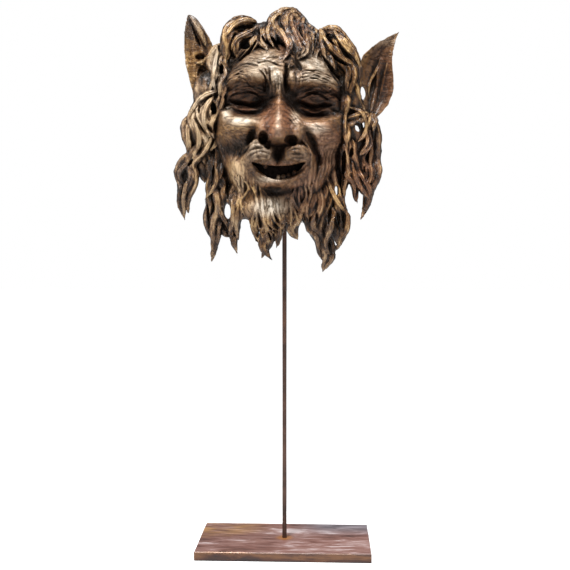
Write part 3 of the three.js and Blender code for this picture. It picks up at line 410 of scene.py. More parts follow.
def along_line(x, up, ax, a_up, bx, b_up):
    """The share of the way along a line, the distance to its left, and its length."""
    length = math.hypot(bx - ax, b_up - a_up)
    dx, d_up = (bx - ax) / length, (b_up - a_up) / length
    along = ((x - ax) * dx + (up - a_up) * d_up) / length
    across = (up - a_up) * dx - (x - ax) * d_up
    return along, across, length


def end_fade(held):
    """Full in the middle of a line, and less at its ends."""
    return np.minimum(1, LINE_END + LINE_GAIN * np.minimum(held, 1 - held))


def stroke_height(x, up, row):
    *line, bow, half, height = row
    along, across, length = along_line(x, up, *line)
    held = np.clip(along, 0, 1)
    waver = STROKE_WAVER * np.sin(held * length / STROKE_PERIOD + 3 * line[0])
    aside = across - bow * np.sin(math.pi * held) - waver
    reach = np.hypot(aside, (along - held) * length) / half
    return height * end_fade(held) * np.exp(-reach * reach)


def ridge_height(x, up, row):
    *line, bow, above, below, out = row
    along, across, length = along_line(x, up, *line)
    held = np.clip(along, 0, 1)
    aside = across - bow * np.maximum(0, np.sin(math.pi * held)) ** RIDGE_ARC
    steep = np.abs(aside) / np.where(aside > 0, above, below)
    reach = np.hypot(steep, (along - held) * length / ((above + below) / 2))
    return out * end_fade(held) * np.exp(-reach ** RIDGE_FIRM)


def nose_height(x, up):
    reach = np.clip((BRIDGE_UP - up) / (BRIDGE_UP - TIP_UP), 0, 1)
    half = np.minimum(WING_HALF, BRIDGE_HALF + NOSE_FLARE * np.maximum(0, BRIDGE_UP - up))
    side = NOSE_BODY * np.maximum(0, 1 - (np.abs(x - NOSE_X) / half) ** NOSE_FULLNESS)
    ridge_half = mix(RIDGE_NARROW, RIDGE_WIDE, reach)
    side += NOSE_RIDGE * np.exp(-((x - NOSE_X) / ridge_half) ** 2)
    below = smooth(up, TIP_UP - NOSE_UNDER, TIP_UP)
    above = 1 - smooth(up, BRIDGE_UP, BRIDGE_UP + NOSE_TOP)
    out = mix(BRIDGE_OUT, TIP_OUT, np.sin(math.pi / 2 * reach) ** NOSE_RISE)
    return out * side * below * above


def side_by_side(fan):
    """The rows of a fan, from its first to its last."""
    first, last, count = fan
    return [[mix(a, b, i / (count - 1)) for a, b in zip(first, last)] for i in range(count)]


def carving(x, up):
    height = nose_height(x, up)
    for cx, c_up, half_x, half_up, out, firm in SWELLINGS:
        height += out * np.exp(-np.hypot((x - cx) / half_x, (up - c_up) / half_up) ** firm)
    for row in STROKES:
        height += stroke_height(x, up, row)
    for row in RIDGES:
        height += ridge_height(x, up, row)
    for fan in FANS:
        for row in side_by_side(fan):
            height += stroke_height(x, up, row)
    return height


def dome(x, up, scale, top):
    """How far out a dome over the head stands, and the share of the way to its rim."""
    power = np.where(up > HEAD_UP, POWER_ABOVE, POWER_BELOW)
    reach = np.where(up > HEAD_UP, HEAD_RISE, HEAD_DROP) * scale
    wide = np.abs(x - HEAD_X) / (HEAD_HALF * scale)
    share = (wide ** power + (np.abs(up - HEAD_UP) / reach) ** power) ** (1 / power)
    rim = mix(CHIN_OUT, RIM_OUT, smooth(up, CHIN_LOW, CHIN_HIGH))
    return rim + (top - rim) * np.maximum(0, 1 - share ** DOME_POWER) ** DOME_ROOT, share


def slope_share(height):
    """Turns a depth into a distance square to the surface."""
    gx, gu = np.gradient(height, STEP)
    return 1 / np.sqrt(1 + gx * gx + gu * gu)


def tool_marks(x, up, size, depth):
    """Shallow overlapping gouge cuts."""
    turned = x * CUT_ACROSS + up * CUT_UP + CUT_SWAY * np.sin(up / CUT_SWAY_LENGTH)
    crossing = (up - CROSS_SLANT * x) / (size * CROSS_SIZE)
    return depth * (np.abs(np.sin(turned / size)) + CROSS_SHARE * np.abs(np.sin(crossing)))


def carve_head():
    x, up = np.meshgrid(xs, ups, indexing="ij")
    face, share = dome(x, up, 1, FACE_OUT)
    face += (carving(x, up) + tool_marks(x, up, *FACE_CUTS)) * np.maximum(0, 1 - share ** RIM_FADE)
    face = np.where(share < 1, face, face - RIM_DROP)
    inner, _ = dome(x, up, HOLLOW_SHARE, HOLLOW_OUT)
    inner += tool_marks(up, x, *HOLLOW_CUTS)
    front = (outs - face[..., None]) * slope_share(face)[..., None]
    back = (inner[..., None] - outs) * slope_share(inner)[..., None]
    np.copyto(field, np.clip(np.maximum(front, back), -FAR, FAR))


def window(centre, reach):
    """The part of the block round a place, and its coordinates."""
    low = [max(0, int((c - r - l) / STEP)) for c, r, l in zip(centre, reach, BLOCK_LOW)]
    high = [min(n, int((c + r - l) / STEP) + 2) for c, r, l, n in zip(centre, reach, BLOCK_LOW, counts)]
    part = tuple(slice(a, b) for a, b in zip(low, high))
    return part, xs[part[0], None, None], ups[None, part[1], None], outs[None, None, part[2]]


def add(part, distance, fillet, tone=None, fibre=None):
    """Joins a form to the carving with a fillet, and notes its shade and fibres."""
    old = field[part]
    if tone is not None:
        np.copyto(tones[part], tone, where=distance < old)
        fibre = FIBRE_BASE + np.clip(fibre, -FIBRE_MOST, FIBRE_MOST)
        np.copyto(fibres[part], fibre, where=distance < old)
    near = np.maximum(fillet - np.abs(old - distance), 0) / fillet
    field[part] = np.minimum(old, distance) - near * near * fillet / 4


def cut(part, distance):
    field[part] = np.maximum(field[part], -distance)


def carve_ball(centre, halves, fillet=None):
    """An egg joined with that fillet, or without one cut out."""
    part, x, up, out = window(centre, [h + MARGIN for h in halves])
    reach = np.sqrt(sum(((v - c) / h) ** 2 for v, c, h in zip((x, up, out), centre, halves)))
    distance = (reach - 1) * min(halves)
    if fillet:
        add(part, distance, fillet)
    else:
        cut(part, distance)


def carve_mouth():
    middle = (MOUTH_LEFT + MOUTH_RIGHT) / 2
    half = (MOUTH_RIGHT - MOUTH_LEFT) / 2
    part, x, up, out = window((middle, MOUTH_UP - 10, 90), (half + 4, 22, 42))
    across = np.clip((x - middle) / half, -1, 1)
    arc = 1 - across * across
    top = MOUTH_UP - LIP_SAG * arc
    bottom = MOUTH_UP - CHIN_SAG * arc
    distance = np.maximum(np.maximum(up - top, bottom - up) * MOUTH_SLOPE, MOUTH_FLOOR - out)
    cut(part, np.broadcast_to(distance, field[part].shape))


def lock_path(number, ax, a_up, bx, b_up, bow, width, a_out, b_out, sway=0, arch=0, waves=1):
    """Shares of the way to the tip, the way, how free the lock is, and its middle line."""
    flat = math.hypot(bx - ax, b_up - a_up)
    side = np.array([-(b_up - a_up), bx - ax, 0]) / flat
    steps = int(math.hypot(flat, b_out - a_out) * (1 + abs(bow) / flat) / PATH_STEP) + PATH_EXTRA
    t = np.linspace(0, 1, steps)
    way = flat * t
    free = np.sin(math.pi * t)
    aside = bow * np.sin(math.pi * t) + sway * np.sin(2 * math.pi * waves * t)
    aside += SWING * free * np.sin(2 * math.pi * way / SWING_LENGTH + number)
    path = np.outer(1 - t, [ax, a_up, a_out]) + np.outer(t, [bx, b_up, b_out]) + np.outer(aside, side)
    path[:, 1] += arch * np.sin(math.pi * np.sqrt(t))
    path[:, 2] += HEAVE * free * np.sin(2 * math.pi * way / HEAVE_LENGTH + HEAVE_SHIFT * number)
    return t, way, free, path


def path_directions(path):
    """Directions along a path, across it and out from it."""
    along = np.gradient(path, axis=0)
    along /= np.linalg.norm(along, axis=1)[:, None]
    across = np.stack([-along[:, 1], along[:, 0], np.zeros(len(path))], 1)
    across /= np.linalg.norm(across, axis=1)[:, None]
    outward = np.cross(across, along)
    outward *= np.sign(outward[:, 2])[:, None]
    return along, across, outward


def lay_strands(count, number, halves, way, free):
    """Each strand's places aside and in front, its half width and its shade."""
    laid = []
    for j in range(count):
        shade = scatter(12.9 * j + 4.7 * number)
        uneven = scatter(7.3 * j + 2.9 * number, 53)
        phase = 2 * math.pi * way / WAVE_LENGTH + 0.9 * j + 2.4 * number
        turn = math.pi * (j + 0.25 + 0.5 * shade) / count + STRAND_WAVE * free ** 0.5 * np.sin(phase)
        aside = STRAND_SPREAD * halves * np.cos(turn)
        front = STRAND_OUT * halves * (np.sin(turn) + 0.5 * shade)
        thick = halves * (STRAND_LEAST + STRAND_SHARED / count) * (UNEVEN_LEAST + UNEVEN_MORE * uneven)
        laid.append((aside, front, thick, shade))
    return laid


def carve_lock(row, number, strand_width, core=CORE_SHARE, root_share=ROOT_SHARE, root_sink=ROOT_SINK):
    """Sweeps a lock along its path: a flat body, and threaded strands that wind over it."""
    width = row[5]
    t, way, free, path = lock_path(number, *row)
    directions = path_directions(path)
    halves = LOCK_GAIN * width / 2 * np.maximum(LOCK_TIP, (1 - t ** 4) ** 0.9)
    sunk = 1 - np.minimum(1, t / root_share)
    halves *= mix(1, ROOT_WIDTH, sunk ** 1.5)
    path[:, 2] -= root_sink * sunk ** 2
    count = max(2, round(width / strand_width)) if strand_width else 0
    strands = lay_strands(count, number, halves, way, free)
    for i in range(len(t) - 1):
        start, step = path[i], path[i + 1] - path[i]
        length = np.linalg.norm(step)
        reach = max(halves[i], halves[i + 1]) * 1.15 + length + PATH_MARGIN
        part, x, up, out = window((path[i] + path[i + 1]) / 2, (reach, reach, reach))
        rx, ru, ro = x - start[0], up - start[1], out - start[2]
        s = np.clip((rx * step[0] + ru * step[1] + ro * step[2]) / length ** 2, 0, 1)
        qx, qu, qo = rx - s * step[0], ru - s * step[1], ro - s * step[2]
        half = core * mix(halves[i], halves[i + 1], s)
        ahead, across, outward = [direction[i] for direction in directions]
        b = qx * across[0] + qu * across[1]
        c = qx * outward[0] + qu * outward[1] + qo * outward[2]
        past = np.abs(qx * ahead[0] + qu * ahead[1] + qo * ahead[2])
        deep = np.where(c > 0, LOCK_FRONT, LOCK_BACK)
        distance = (np.sqrt(b * b + (c / deep) ** 2) - half) * CORE_SLOPE
        # Without strands over it the body keeps the darkest tone, so the hair bed is painted shade between
        # the locks
        tone = np.zeros_like(distance)
        fibre = b / half
        for aside, front, thick, shade in strands:
            sideways = b - mix(aside[i], aside[i + 1], s)
            radius = mix(thick[i], thick[i + 1], s)
            off = np.hypot(sideways, c - mix(front[i], front[i + 1], s)) - radius
            turn = THREADS * sideways / radius + THREAD_TWIST * way[i] + THREAD_SHIFT * shade
            off = off + THREAD_DEPTH * np.cos(turn)
            tone = np.where(off < distance, shade, tone)
            fibre = np.where(off < distance, sideways / radius, fibre)
            distance = np.minimum(distance, off)
        distance = (distance + past).astype(np.float32)
        add(part, distance, STRAND_FILLET, tone, fibre)


def front_surface():
    """How far out the carving stands, seen from the front."""
    solid = field < 0
    last = len(outs) - 1 - np.argmax(solid[:, :, ::-1], 2)
    return np.where(solid.any(2), outs[last], BLOCK_LOW[2])


def follow(surface, ax, a_up, bx, b_up, bow=0, sway=0):
    """Places along a curve laid on the surface."""
    length = math.hypot(bx - ax, b_up - a_up)
    t = np.linspace(0, 1, int(length / PATH_STEP) + 4)
    aside = (bow * np.sin(math.pi * t) + sway * np.sin(2 * math.pi * t)) / length
    x = mix(ax, bx, t) - (b_up - a_up) * aside
    up = mix(a_up, b_up, t) + (bx - ax) * aside
    reach = int(SURFACE_REACH / STEP)
    heights = []
    for px, p_up in zip(x, up):
        i = int((px - BLOCK_LOW[0]) / STEP)
        j = int((p_up - BLOCK_LOW[1]) / STEP)
        near = surface[max(0, i - reach):i + reach + 1, max(0, j - reach):j + reach + 1]
        heights.append(near.max())
    padded = np.pad(heights, EVENED, mode="edge")
    out = sum(padded[k:k + len(t)] for k in range(2 * EVENED + 1)) / (2 * EVENED + 1)
    return t, np.stack([x, up, out], 1)


def carve_followed(surface, line, width, rise, high, tone=None):
    """A round strand of that tone along the surface, or without a tone a groove."""
    t, path = follow(surface, *line)
    taper = np.sin(math.pi * mix(TAPER_START, TAPER_END, t)) ** TAPER_POWER
    taper = np.maximum(TAPER_LEAST, taper)
    for i in range(len(t) - 1):
        start, step = path[i], path[i + 1] - path[i]
        if start[2] < LOWEST_STRAND:
            continue
        flat = math.hypot(step[0], step[1])
        beside = width / 2 + flat + PATH_MARGIN
        deep = max(width, high) + flat + PATH_MARGIN
        part, x, up, out = window((path[i] + path[i + 1]) / 2, (beside, beside, deep))
        rx, ru = x - start[0], up - start[1]
        s = np.clip((rx * step[0] + ru * step[1]) / flat ** 2, 0, 1)
        b = np.hypot(rx - s * step[0], ru - s * step[1])
        half = width / 2 * mix(taper[i], taper[i + 1], s)
        c = out - (start[2] + rise + s * step[2])
        distance = ((np.hypot(b / half, c * width / 2 / (half * high)) - 1) * half).astype(np.float32)
        if tone is None:
            cut(part, distance)
        else:
            add(part, distance, STRAND_FILLET, tone, (rx * step[1] - ru * step[0]) / (flat * half))


def carve_ear(row):
    tip_x, tip_up, foot_x, foot_up, bow, sway, wide, tip_out, foot_out, full = row
    length = math.hypot(foot_x - tip_x, foot_up - tip_up)
    middle = ((tip_x + foot_x) / 2, (tip_up + foot_up) / 2, (tip_out + foot_out) / 2)
    part, x, up, out = window(middle, (52, length / 2 + 6, 26))
    t, aside, length = along_line(x, up, tip_x, tip_up, foot_x, foot_up)
    held = np.clip(t, 0, 1)
    centre = bow * np.sin(math.pi * held) + sway * np.sin(2 * math.pi * held)
    spread = np.sin(math.pi * mix(0.01, 0.94, held) ** full)
    half = wide * spread
    b = (aside - centre) / half
    bowl = np.maximum(0, 1 - b * b)
    off_ridge = (b - RIDGE_SHIFT + 0.5 * (held - 0.5)) / EAR_RIDGE_WIDE
    ridge = EAR_RIDGE * np.exp(-off_ridge ** 2) * smooth(held, 0.25, 0.55)
    flutes = FLUTE_DEPTH * np.abs(np.sin(FLUTES * b + 5 * held)) * smooth(held, 0.1, 0.3)
    rim = mix(tip_out, foot_out, held) + EAR_HOLLOW / 2
    front = rim - EAR_HOLLOW * spread * bowl ** 0.6
    front = front + ridge * bowl - flutes * bowl
    thickness = EAR_THICKNESS * spread ** 0.5 * (0.5 + 0.5 * bowl ** 0.5)
    rear = rim - EAR_HOLLOW * spread * bowl ** 0.8 - thickness
    sheet = np.maximum(0.75 * (out - front), 0.75 * (rear - out))
    edge = (np.abs(b) - 1) * half
    ends = np.maximum(-t, t - 1) * length
    add(part, np.maximum(np.maximum(sheet, edge), ends).astype(np.float32), EAR_FILLET)


def carve_piercing(row):
    cx, c_up, half_x, half_up, lean = row
    part, x, up, out = window((cx, c_up, 30), (half_x + 4, half_up + 4, 100))
    turn = math.radians(lean)
    across = (x - cx) * math.cos(turn) - (up - c_up) * math.sin(turn)
    high = (x - cx) * math.sin(turn) + (up - c_up) * math.cos(turn)
    distance = (np.hypot(across / half_x, high / half_up) - 1) * half_x
    cut(part, np.broadcast_to(distance, field[part].shape))


def carve_mask():
    """Carves every form into the block, in this order."""
    carve_head()
    carve_mouth()
    for x, up in TEETH:
        carve_ball((x, up, TOOTH_OUT), (TOOTH_HALF, TOOTH_HIGH, TOOTH_HALF), TOOTH_FILLET)
    for row in EARS:
        carve_ear(row)
    # The hair bed takes the darkest tone: painted shade in the gaps between the locks
    for number, row in enumerate(HAIR_BED, 1):
        carve_lock(row, number, None, core=1)
    for number, row in enumerate(LOCKS, FIRST_LOCK):
        carve_lock(row, number, STRAND_WIDTH)
    for centre, halves in BEARD_BODIES:
        carve_ball(centre, halves, BEARD_FILLET)
    for number, row in enumerate(BEARD_LOCKS):
        carve_lock(row, number, BEARD_STRAND_WIDTH, BEARD_CORE, BEARD_ROOT, BEARD_SINK)
    for row in PITS:
        carve_ball(row[:3], row[3:])
    surface = front_surface()
    for *line, width, depth in GOUGES:
        carve_followed(surface, line, width, GOUGE_LIFT * depth, GOUGE_REACH * depth)
    for number, (*line, width) in enumerate(TENDRILS):
        tone = 0.45 + 0.55 * scatter(3.3 * number)
        carve_followed(surface, line, width, -TENDRIL_SINK * width, TENDRIL_RISE * width, tone)
    for fan in STRAND_FANS:
        for i, (*line, width) in enumerate(side_by_side(fan)):
            line[1] += 5 * math.sin(7 * i)
            line[5] += 4 * math.sin(5 * i + 1)
            tone = 0.3 + 0.5 * scatter(3.3 * i + fan[2])
            carve_followed(surface, line, width, -FAN_SINK * width, TENDRIL_RISE * width, tone)
    for row in PIERCINGS:
        carve_piercing(row)


# The carved surface as a mesh
def box_blur(values, radius):
    """The mean over a cube of that half size, in cells."""
    for axis in range(3):
        padding = [(radius + 1, radius) if a == axis else (0, 0) for a in range(3)]
        total = np.cumsum(np.pad(values, padding, mode="edge"), axis=axis, dtype=np.float32)
        size = values.shape[axis]
        ahead = np.take(total, range(2 * radius + 1, 2 * radius + 1 + size), axis=axis)
        behind = np.take(total, range(size), axis=axis)
        values = (ahead - behind) / (2 * radius + 1)
    return values


def halve(values):
    """The block with cells twice as large."""
    even = values[tuple(slice(0, n // 2 * 2) for n in values.shape)]
    even = (even[0::2] + even[1::2]) / 2
    even = (even[:, 0::2] + even[:, 1::2]) / 2
    return (even[:, :, 0::2] + even[:, :, 1::2]) / 2


def sample(values, places):
    """Reads the block at places given in cells, mixed from the eight cells round each."""
    low = np.floor(places).astype(int)
    low = np.clip(low, 0, np.array(values.shape) - 2)
    share = places - low
    result = 0
    for corner in range(8):
        ahead = np.array([corner & 1, corner >> 1 & 1, corner >> 2])
        weight = np.prod(np.where(ahead, share, 1 - share), axis=1)
        index = low + ahead
        result = result + weight * values[index[:, 0], index[:, 1], index[:, 2]]
    return result


def wood_mesh():
    """The carved surface, thinned to the most triangles allowed, in millimetres."""
    grid = openvdb.FloatGrid(FAR)
    grid.copyFromArray(np.clip(field, -FAR, FAR))
    points, quads = grid.convertToQuads(isovalue=0.0)
    made = bpy.data.meshes.new("mask_carved")
    made.from_pydata((points * STEP + BLOCK_LOW).tolist(), [], quads.tolist())
    piece = new_object("mask_carved", made)
    thin = piece.modifiers.new("thin", "DECIMATE")
    thin.ratio = min(1, MOST_TRIANGLES / (2 * len(quads)))
    thin.use_collapse_triangulate = True
    shown = piece.evaluated_get(bpy.context.evaluated_depsgraph_get())
    thinned = bpy.data.meshes.new_from_object(shown)
    piece.modifiers.clear()
    piece.data = thinned
    bpy.data.meshes.remove(made)
    thinned.name = "mask_carved"
    return piece


def read_points(mesh, kind, name):
    values = np.zeros(len(mesh.vertices) * 3, np.float32)
    getattr(mesh, kind).foreach_get(name, values)
    return values.reshape(-1, 3)


def keep_value(mesh, name, values):
    layer = mesh.attributes.new(name, "FLOAT", "POINT")
    layer.data.foreach_set("value", np.asarray(values, np.float32))


def keep_shades(mesh, here, normals):
    """Stores what the wood's material reads at each place."""
    wood = halve(np.clip(0.5 - field / STEP, 0, 1))
    for name, radius, height in CROWDING:
        cells = max(1, round(radius / (2 * STEP)))
        full = box_blur(box_blur(wood, cells), cells)
        seen = sample(full, (here + height * normals - BLOCK_LOW) / (2 * STEP) - 0.25)
        keep_value(mesh, name, np.clip(seen, 0, 1))
    for name, values in (("chance", tones), ("fibre", fibres)):
        keep_value(mesh, name, sample(values, (here - BLOCK_LOW) / STEP))
    facing = np.clip(PAINT_FRONT * normals[:, 2] + PAINT_SIDE, 0, 1)
    for name, rows in PAINT.items():
        amount = 0
        for x, up, half_x, half_up, strength in rows:
            reach = np.hypot((here[:, 0] - x) / half_x, (here[:, 1] - up) / half_up)
            amount = np.maximum(amount, strength * np.exp(-reach ** PAINT_FIRM))
        keep_value(mesh, name, amount * facing)


def hand_worked(here, normals):
    """The places, moved in and out a little."""
    chance = np.random.default_rng(4)
    for size, depth in HAND_MARKS:
        lattice = chance.random([int((h - l) / size) + 3 for l, h in zip(BLOCK_LOW, BLOCK_HIGH)])
        marks = sample(lattice, (here - BLOCK_LOW) / size) - 0.5
        here = here + (2 * depth * marks)[:, None] * normals
    return here


def place_mask(piece):
    """Finishes the mask's surface and moves it to where the frame has it, in metres."""
    mesh = piece.data
    here = read_points(mesh, "vertices", "co")
    normals = read_points(mesh, "vertex_normals", "vector")
    keep_shades(mesh, here, normals)
    here = hand_worked(here, normals)
    keep_value(mesh, "high", here[:, 1])
    x, y, z = np.stack([here[:, 0], -here[:, 2], here[:, 1] + MASK_HEIGHT]) / 1000
    c, s = math.cos(MASK_TURN), math.sin(MASK_TURN)
    placed = np.stack([x * c - y * s, x * s + y * c, z], 1)
    mesh.vertices.foreach_set("co", placed.astype(np.float32).ravel())
    mesh.polygons.foreach_set("use_smooth", np.ones(len(mesh.polygons), bool))
    mesh.update()


carve_mask()
mask = wood_mesh()
place_mask(mask)
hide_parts("mask")
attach(mask, "root")


# Materials
class Nodes:
    """A material's nodes, with the coordinates of the object in metres."""

    def __init__(self, name):
        self.material = bpy.data.materials.new(name)
        self.material.use_nodes = True
        self.tree = self.material.node_tree
        self.shader = self.tree.nodes["Principled BSDF"]
        self.place = self.new("TexCoord").outputs["Object"]

    def new(self, kind):
        return self.tree.nodes.new("ShaderNode" + kind)

    def link(self, source, target):
        if isinstance(source, (int, float)):
            target.default_value = source
        elif isinstance(source, tuple):
            target.default_value = (*source, 1) if len(target.default_value) == 4 else source
        else:
            self.tree.links.new(source, target)

    def give(self, name, source):
        self.link(source, self.shader.inputs[name])

    def math(self, operation, a, b=0.0, c=0.0, clamp=False):
        node = self.new("Math")
        node.operation = operation
        node.use_clamp = clamp
        for value, socket in zip((a, b, c), node.inputs):
            self.link(value, socket)
        return node.outputs[0]

    def times(self, a, b):
        return self.math("MULTIPLY", a, b)

    def scaled(self, value, gain, base):
        return self.math("MULTIPLY_ADD", value, gain, base)

    def span(self, value, low, high, to_low=0.0, to_high=1.0):
        node = self.new("MapRange")
        node.interpolation_type = "SMOOTHSTEP"
        for source, socket in zip((value, low, high, to_low, to_high), node.inputs):
            self.link(source, socket)
        return node.outputs[0]

    def noise(self, scale, detail=4.0, rough=0.55, stretch=(1, 1, 1), distortion=0.0):
        mapping = self.new("Mapping")
        self.link(self.place, mapping.inputs["Vector"])
        self.link(stretch, mapping.inputs["Scale"])
        node = self.new("TexNoise")
        self.link(mapping.outputs[0], node.inputs["Vector"])
        settings = {"Scale": scale, "Detail": detail, "Roughness": rough, "Distortion": distortion}
        for name, value in settings.items():
            self.link(value, node.inputs[name])
        return node.outputs["Fac"]

    def length(self, vector):
        node = self.new("VectorMath")
        node.operation = "LENGTH"
        self.link(vector, node.inputs[0])
        return node.outputs["Value"]

    def value(self, name):
        node = self.new("Attribute")
        node.attribute_name = name
        return node.outputs["Fac"]

    def ramp(self, value, stops):
        node = self.new("ValToRGB")
        elements = node.color_ramp.elements
        while len(elements) < len(stops):
            elements.new(0.5)
        for element, (place, colour) in zip(elements, stops):
            element.position = place
            element.color = (*colour, 1)
        self.link(value, node.inputs[0])
        return node.outputs[0]

    def blend(self, share, a, b):
        node = self.new("Mix")
        node.data_type = "RGBA"
        for socket, source in (("Factor", share), (6, a), (7, b)):
            self.link(source, node.inputs[socket])
        return node.outputs[2]

    def bump(self, height, distance, strength):
        node = self.new("Bump")
        for name, source in (("Height", height), ("Distance", distance), ("Strength", strength)):
            self.link(source, node.inputs[name])
        self.give("Normal", node.outputs[0])


def wood_lines(n, noise, hair):
    """Fine dark lines in bare wood, level above the eyes and upright below."""
    above = n.span(n.value("high"), -6.0, 10.0)
    below = n.math("SUBTRACT", 1.0, above)
    both = n.math("ADD", n.times(noise["level"], above), n.times(noise["upright"], below))
    off_middle = n.math("ABSOLUTE", n.math("SUBTRACT", both, 0.5))
    return n.times(n.span(off_middle, 0.0, 0.045, 1.0, 0.0), n.math("SUBTRACT", 1.0, hair))


def wood_material():
    n = Nodes("carved_wood")
    noise = {name: n.noise(*row) for name, row in WOOD_NOISES.items()}
    dark, pale, fibre = n.value("dark"), n.value("pale"), n.value("fibre")
    hair = n.span(fibre, 1.0, 1.7)
    threads = n.math("SINE", n.scaled(fibre, 7.0, n.times(noise["grain"], 6.0)))
    threads = n.times(threads, hair)
    # A painted highlight along the crest of each strand
    crest_highlight = n.math("ABSOLUTE", n.math("SUBTRACT", fibre, FIBRE_BASE))
    crest_highlight = n.times(n.span(crest_highlight, 0.1, 0.95, 1.0, 0.0), hair)
    mottle = n.times(n.math("SUBTRACT", noise["mottle"], 0.5), hair)
    speckle = n.math("SUBTRACT", noise["speckle"], 0.5)
    lines = wood_lines(n, noise, hair)
    open_fine = n.span(n.value("crevice"), 0.16, 0.62, 1.0, 0.0)
    open_broad = n.span(n.value("hollow"), 0.16, 0.60, 1.0, 0.0)
    worn_and_lit = n.times(open_fine, n.scaled(open_broad, 0.75, 0.25))

    # How much each layer lightens the wood
    layers = [
        (noise["patches"], 0.42),
        (noise["grain"], 0.24),
        (threads, 0.12),
        (mottle, 2.2),
        (crest_highlight, 0.31),
        (hair, -0.25),
        (lines, -0.20),
        (speckle, 0.30),
        (n.value("chance"), 0.40),
        # pale adds painted highlight and painted light
        (pale, 0.24),
        (n.value("ochre"), 0.08),
    ]
    # Open ridges lighter, crevices and hollows darker: part wear and patina, part painted highlight and
    # painted shade
    tone = n.scaled(worn_and_lit, 0.77, -0.51)
    for layer, weight in layers:
        tone = n.scaled(layer, weight, tone)
    # The dark paint lowers the tone here: painted shade
    tone = n.math("MULTIPLY_ADD", dark, -0.42, tone, clamp=True)
    colour = n.ramp(tone, WOOD_COLOURS)
    patchy = n.span(noise["blotch"], 0.30, 0.55, 0.35, 1.0)
    for name, colours in SHADES.items():
        shade = n.ramp(tone, list(zip(SHADE_TONES, colours)))
        colour = n.blend(n.times(n.value(name), patchy), colour, shade)
    n.give("Base Color", colour)

    n.give("Roughness", n.scaled(noise["gloss"], 0.30, n.scaled(worn_and_lit, -0.12, 0.28)))
    bright = n.times(worn_and_lit, n.scaled(dark, -0.85, 1.0))
    bright = n.times(bright, n.scaled(pale, -0.4, 1.0))
    n.give("Coat Weight", n.times(bright, 0.4))
    n.give("Specular IOR Level", n.scaled(bright, 0.38, 0.05))
    n.give("Coat Roughness", 0.24)
    relief = n.math("ADD", noise["chisel"], noise["grain"])
    relief = n.scaled(threads, 0.34, relief)
    relief = n.scaled(lines, -0.55, relief)
    n.bump(relief, 0.0024, 0.9)
    return n.material


def rod_material():
    n = Nodes("rod_steel")
    streaks = n.noise(30, 6, 0.6, stretch=(0.25, 1, 1), distortion=0.5)
    patches = n.noise(11, 5, 0.6)
    colour = n.blend(n.span(streaks, 0.35, 0.65), ROD_DARK, ROD_LIGHT)
    colour = n.blend(n.span(patches, 0.52, 0.68), colour, ROD_RUST)
    n.give("Base Color", colour)
    n.give("Metallic", 0.35)
    n.give("Roughness", n.scaled(patches, 0.3, 0.25))
    n.bump(n.noise(160, 4, 0.6), 0.0003, 0.4)
    return n.material


def base_material():
    n = Nodes("base_steel")
    axes = n.new("SeparateXYZ")
    n.link(n.place, axes.inputs[0])
    x, y, z = axes.outputs
    broad = n.noise(40, 5, 0.6, stretch=(0.22, 1, 1), distortion=0.5)
    fine = n.noise(120, 8, 0.70, stretch=(0.20, 1, 1), distortion=0.8)
    streaks = n.scaled(broad, 0.45, n.times(fine, 0.55))
    patches = n.noise(24, 4, 0.6, stretch=(0.5, 1, 1))
    colour = n.ramp(streaks, BASE_COLOURS)

    # Warm far left corner, cool far right corner, light round the rod's foot, dark front edge
    warm = n.times(n.span(x, -0.010, -0.080), n.span(y, -0.040, 0.050))
    warm = n.times(warm, n.span(patches, 0.40, 0.56))
    colour = n.blend(warm, colour, n.ramp(streaks, BASE_WARM))
    cool = n.times(n.span(x, 0.000, 0.060), n.span(y, 0.000, 0.055))
    colour = n.blend(cool, colour, n.ramp(streaks, BASE_COOL))
    flat = n.new("CombineXYZ")
    n.link(x, flat.inputs[0])
    n.link(y, flat.inputs[1])
    foot = n.span(n.length(flat.outputs[0]), 0.005, 0.015, 0.9, 0.0)
    colour = n.blend(foot, colour, BASE_FOOT)
    front = n.span(y, -0.0642, -0.0630, 1.0, 0.0)
    edge = n.ramp(n.scaled(streaks, 2.4, n.scaled(z, 45.0, -0.80)), BASE_EDGE)
    colour = n.blend(front, colour, edge)

    n.give("Base Color", colour)
    n.give("Metallic", 0.25)
    n.give("Roughness", n.scaled(patches, 0.35, 0.16))
    n.bump(streaks, 0.0012, 0.8)
    return n.material


mask.data.materials.clear()
mask.data.materials.append(wood_material())
for name, material in (("rod", rod_material()), ("base", base_material())):
    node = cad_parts[name]
    for slot in node.material_slots:
        slot.material = material


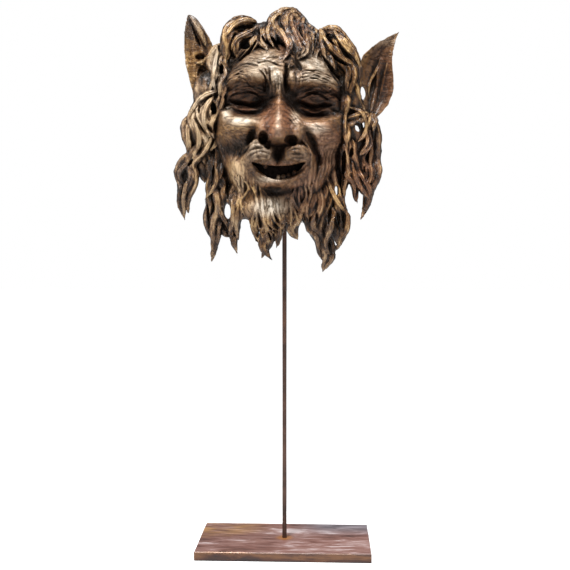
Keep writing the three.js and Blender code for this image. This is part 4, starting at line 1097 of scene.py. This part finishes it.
# Camera at the photograph's place and angle
eye = bpy.data.cameras.new("eye")
eye.sensor_width = SENSOR
eye.lens = SENSOR * FOCAL_PIXELS / FRAME_PIXELS
eye.shift_y = (HORIZON_PIXEL - FRAME_PIXELS / 2) / FRAME_PIXELS
eye.shift_x = (FRAME_PIXELS / 2 - AXIS_PIXEL) / FRAME_PIXELS
camera = new_object("eye", eye)
across, back = math.sin(MASK_TURN), -math.cos(MASK_TURN)
camera.location = (CAMERA_DISTANCE * across, CAMERA_DISTANCE * back, CAMERA_HEIGHT)
camera.rotation_euler = (math.pi / 2, 0, MASK_TURN)
scene.camera = camera


# Studio
for name, place, size, power in LAMPS:
    light = bpy.data.lights.new(name, "AREA")
    light.shape = "RECTANGLE"
    light.size, light.size_y = size
    light.energy = power
    lamp = new_object(name, light)
    lamp.location = place
    aim = np.subtract(LAMPS_AIM, place)
    tilt = math.atan2(math.hypot(aim[0], aim[1]), -aim[2])
    lamp.rotation_euler = (tilt, 0, math.atan2(-aim[0], aim[1]))

world = bpy.data.worlds.new("studio")
world.use_nodes = True
sky = world.node_tree
background = sky.nodes["Background"]
background.inputs["Color"].default_value = (1, 1, 1, 1)
rays = sky.nodes.new("ShaderNodeLightPath")
strength = sky.nodes.new("ShaderNodeMapRange")
sky.links.new(rays.outputs["Is Camera Ray"], strength.inputs["Value"])
strength.inputs["To Min"].default_value = ROOM_LIGHT
strength.inputs["To Max"].default_value = SEEN_WHITE
sky.links.new(strength.outputs[0], background.inputs["Strength"])
scene.world = world
scene.view_settings.view_transform = "Standard"

floor_mesh = bpy.data.meshes.new("floor")
floor_mesh.from_pydata(FLOOR_CORNERS, [], [(0, 1, 2, 3)])
floor = new_object("floor", floor_mesh)
pale = Nodes("pale_floor")
pale.give("Base Color", (0.9, 0.9, 0.9))
pale.give("Roughness", 0.9)
seen = pale.new("LightPath").outputs["Is Camera Ray"]
glow = pale.span(pale.length(pale.place), GLOW_NEAR, GLOW_FAR, GLOW_LEAST, 1.0)
pale.give("Emission Color", (1, 1, 1))
pale.give("Emission Strength", pale.times(seen, glow))
floor_mesh.materials.append(pale.material)
